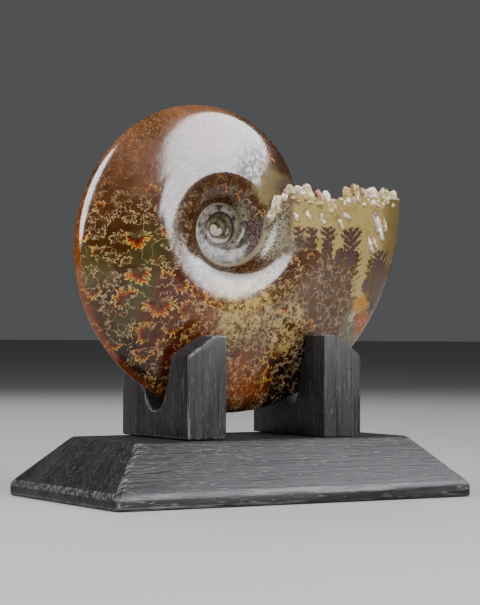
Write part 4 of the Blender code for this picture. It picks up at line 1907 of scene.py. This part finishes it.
    def gloss(self) -> Socket:
        """Return how well the polish took: less in the sunken centre and on one frayed area.

        Returns:
            The coat's weight.
        """
        mottle = self.step(self.cloud(1.1, 4.0, 0.8), 0.35, 0.62, 0.62, 1.0)
        sunken = self.math("MAXIMUM", self.older, self.wall)
        frayed = self.step(self.cloud(0.5, 5.0, 0.7), 0.46, 0.52, 0.0, 0.75)
        dull = self.times(frayed, self.area(self.flat, *self.finish.frayed_area))
        return self.times(mottle, self.line(sunken, -0.75, 1.0), self.minus(1.0, dull))

    def paint(self) -> Socket:
        """Paint everything.

        Returns:
            The shell's colour, as deep and as rich as the finish asks for.
        """
        self.paint_ground()
        self.paint_frills()
        self.paint_threads()
        khaki = self.paint_khaki()
        self.paint_ferns(khaki)
        self.paint_sutures()
        self.paint_strokes()
        self.paint_edge()
        self.paint_centre()
        colour = self.mix(1.0, self.colour, (self.finish.depth,) * 3, "MULTIPLY")
        inputs = {"Color": colour, "Saturation": self.finish.richness}
        return self.add("ShaderNodeHueSaturation", inputs).outputs[0]


@dataclass(frozen=True)
class ShellFinish:
    """Polished fossil shell: a brown ground, leaf-shaped sutures, flames, ferns and a pale centre."""

    brown: Colour = srgb(80, 48, 20)
    patches: tuple[Patch, ...] = (
        Patch(-18, 133, 17, srgb(146, 102, 76)),
        Patch(-48, 118, 16, srgb(120, 82, 62)),
        Patch(-60, 104, 14, srgb(94, 58, 34)),
        Patch(-61, 79, 8, srgb(92, 84, 44)),
        Patch(-44, 86, 7, srgb(84, 80, 44)),
        Patch(-43, 71, 7, srgb(74, 78, 34)),
        Patch(-45, 60, 8, srgb(82, 74, 38)),
        Patch(-55, 70, 6, srgb(58, 42, 18)),
        Patch(-47, 47, 11, srgb(52, 30, 16)),
        Patch(-33, 68, 11, srgb(96, 22, 6)),
        Patch(-33, 53, 12, srgb(98, 34, 10)),
        Patch(-20, 64, 11, srgb(132, 70, 26)),
        Patch(-8, 66, 12, srgb(160, 124, 66)),
        Patch(-3, 42, 11, srgb(160, 80, 34)),
        Patch(4, 54, 12, srgb(126, 84, 58)),
        Patch(15, 68, 12, srgb(114, 82, 52)),
        Patch(24, 78, 13, srgb(114, 82, 60)),
        Patch(37, 72, 13, srgb(108, 76, 40)),
        Patch(28, 62, 11, srgb(106, 72, 38)),
        Patch(53, 79, 10, srgb(112, 88, 46)),
        Patch(9, 91, 7, srgb(142, 136, 116)),
        Patch(7, 108, 9, srgb(150, 138, 92)),
        Patch(18, 103, 10, srgb(122, 98, 88)),
        # Painted shadow: this near-black patch low on the flank, near the right cradle, stands in for the
        # cradle's shade.
        Patch(18, 40, 14, srgb(26, 16, 12)),
        Patch(41, 59, 6, srgb(120, 122, 94)),
        Patch(46, 67, 6, srgb(222, 158, 56)),
        Patch(49, 58, 6, srgb(196, 98, 34)),
    )
    flames: tuple[tuple[float, Colour], ...] = (
        (0.00, srgb(255, 222, 120)),
        (0.14, srgb(246, 164, 40)),
        (0.34, srgb(206, 84, 10)),
        (0.62, srgb(118, 26, 6)),
        (1.00, srgb(44, 10, 5)),
    )
    deep_brown: Colour = srgb(34, 20, 10)
    tan: Colour = srgb(150, 100, 60)
    russet: Colour = srgb(80, 32, 12)
    moss: Colour = srgb(226, 200, 130)
    cream: Colour = srgb(242, 212, 162)
    grey_cream: Colour = srgb(196, 182, 160)
    khaki: Colour = srgb(220, 198, 134)
    khaki_shade: Colour = srgb(176, 142, 78)
    khaki_edge: Colour = srgb(126, 108, 66)
    khaki_dots: Colour = srgb(120, 92, 52)
    fern: Colour = srgb(104, 80, 74)
    calcite: Colour = srgb(236, 226, 210)
    rosy: Colour = srgb(196, 150, 122)
    stroke_shade: Colour = srgb(112, 90, 52)
    # A painted glow of light through the thin outer edge.
    painted_edge_glow: Colour = srgb(168, 76, 18)
    sparkle: Colour = srgb(216, 158, 110)
    # The wall's dark speckle, partly painted shade where it faces away from the light.
    wall: tuple[Colour, Colour] = (srgb(40, 22, 14), srgb(126, 92, 62))
    pale_wall: tuple[Colour, Colour] = (srgb(86, 78, 62), srgb(196, 188, 164))
    whorl: tuple[Colour, Colour] = (srgb(66, 58, 56), srgb(176, 170, 156))
    # The older whorl's right side: purple speckle, partly painted shade.
    shaded_speckle: tuple[Colour, Colour] = (srgb(60, 46, 46), srgb(140, 120, 112))
    seam: Colour = srgb(196, 186, 152)
    button_groove: Colour = srgb(52, 44, 32)
    button: tuple[Colour, Colour] = (srgb(96, 86, 66), srgb(158, 146, 120))
    frill_areas: tuple[tuple[float, float, float, float], ...] = ((-8, 66, 7, 15), (10, 59, 4, 12))
    frayed_area: tuple[float, float, float, float] = (1.0, 112.0, 6.0, 14.0)
    older_turns: tuple[float, float] = (0.046, 0.040)
    wall_reach: tuple[float, float] = (0.30, 0.245)
    line_width: float = 0.125
    depth: float = 0.50
    richness: float = 1.08

    def build_groups(self) -> None:
        """Build the groups that draw the leaves."""
        turned = [("Turn", "Float"), ("Size", "Float"), ("Seed", "Float")]
        placed = [("Place", "Vector"), ("Size", "Float")]
        new_group("leaf_outline", turned, ("Reach",), leaf_outline)
        new_group("suture_leaf", placed, ("Gap", "Front", "Share"), suture_leaf)
        new_group("feather_leaf", [*placed, ("Width", "Float")], ("Gap",), feather_leaf)

    def build(self, pole: Vector) -> bpy.types.Material:
        """Build the material.

        Args:
            pole: The middle of the spiral.

        Returns:
            The material.
        """
        self.build_groups()
        material, shader = new_material("polished_shell")
        painter = ShellPainter(material.node_tree, self, pole)
        painter.feed(shader.inputs["Base Color"], painter.paint())
        painter.feed(shader.inputs["Coat Weight"], painter.gloss())
        ripple = painter.bump(painter.cloud(0.8, 4.0, 0.75), 0.25, 0.1 * MM)
        painter.feed(shader.inputs["Coat Normal"], ripple)
        shader.inputs["Roughness"].default_value = 0.25
        shader.inputs["IOR"].default_value = 1.5
        shader.inputs["Specular IOR Level"].default_value = 0.08
        shader.inputs["Coat Roughness"].default_value = 0.05
        shader.inputs["Coat IOR"].default_value = 1.5
        return material


@dataclass(frozen=True)
class CalciteFinish:
    """Rough calcite, from white through pink and cream to rust."""

    tints: tuple[tuple[float, Colour], ...] = (
        (0.00, srgb(226, 220, 208)),
        (0.22, srgb(196, 166, 146)),
        (0.40, srgb(192, 172, 126)),
        (0.66, srgb(166, 150, 86)),
        (0.82, srgb(118, 88, 54)),
        (1.00, srgb(142, 42, 16)),
    )
    grime: Colour = srgb(92, 70, 46)
    roughness: float = 0.45
    relief: float = 0.2 * MM

    def build(self) -> bpy.types.Material:
        """Build the material.

        Returns:
            The material.
        """
        material, shader = new_material("calcite_crust")
        sheet = NodeSheet(material.node_tree)
        place = sheet.object_place()
        cloud = sheet.minus(sheet.noise(place, 700.0, 4.0, 0.65), 0.5)
        tint = sheet.math("MULTIPLY_ADD", cloud, 1.6, sheet.attribute("tint"), clamp=True)
        grimy = sheet.step(sheet.noise(place, 900.0, 3.0, 0.7), 0.56, 0.68, 0.0, 0.6)
        colour = sheet.mix(grimy, sheet.ramp(tint, self.tints), self.grime)
        sheet.feed(shader.inputs["Base Color"], colour)
        grit = sheet.noise(place, 1600.0, 4.0, 0.7)
        sheet.feed(shader.inputs["Normal"], sheet.bump(grit, 0.6, self.relief))
        shader.inputs["Roughness"].default_value = self.roughness
        return material


def fit(piece: bpy.types.Object, node: str, materials: Sequence[bpy.types.Material]) -> None:
    """Dress a piece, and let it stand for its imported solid.

    Args:
        piece: The piece.
        node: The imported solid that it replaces.
        materials: Its materials, in the order of its slots.
    """
    for material in materials:
        piece.data.materials.append(material)
    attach(piece, "root")
    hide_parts(node)
    LOG.info("%s: %d faces, in place of %s", piece.name, len(piece.data.polygons), node)


def main() -> None:
    """Build the stand, the ammonite and the studio."""
    logging.basicConfig(level=logging.INFO, format="%(name)s: %(message)s")
    wood = WoodFinish()
    wood.build_group()
    base = StandBase()
    fit(base.build(), base.node, [wood.build("base_wood", Grain.LENGTHWISE)])
    upright = wood.build("cradle_wood", Grain.UPRIGHT)
    for cradle in (
        Cradle("left_cradle", "cradle_left", -1, 2.0 * MM, 12.8 * MM),
        Cradle("right_cradle", "cradle_right", 1, 5.0 * MM, 11.4 * MM),
    ):
        fit(cradle.build(), cradle.node, [upright])
    ammonite = Ammonite()
    fit(ammonite.build(), ammonite.node, [ShellFinish().build(ammonite.spiral.pole)])
    fit(ammonite.build_crust(), ammonite.node, [CalciteFinish().build()])
    Studio().build()


if __name__ == "__main__":
    main()
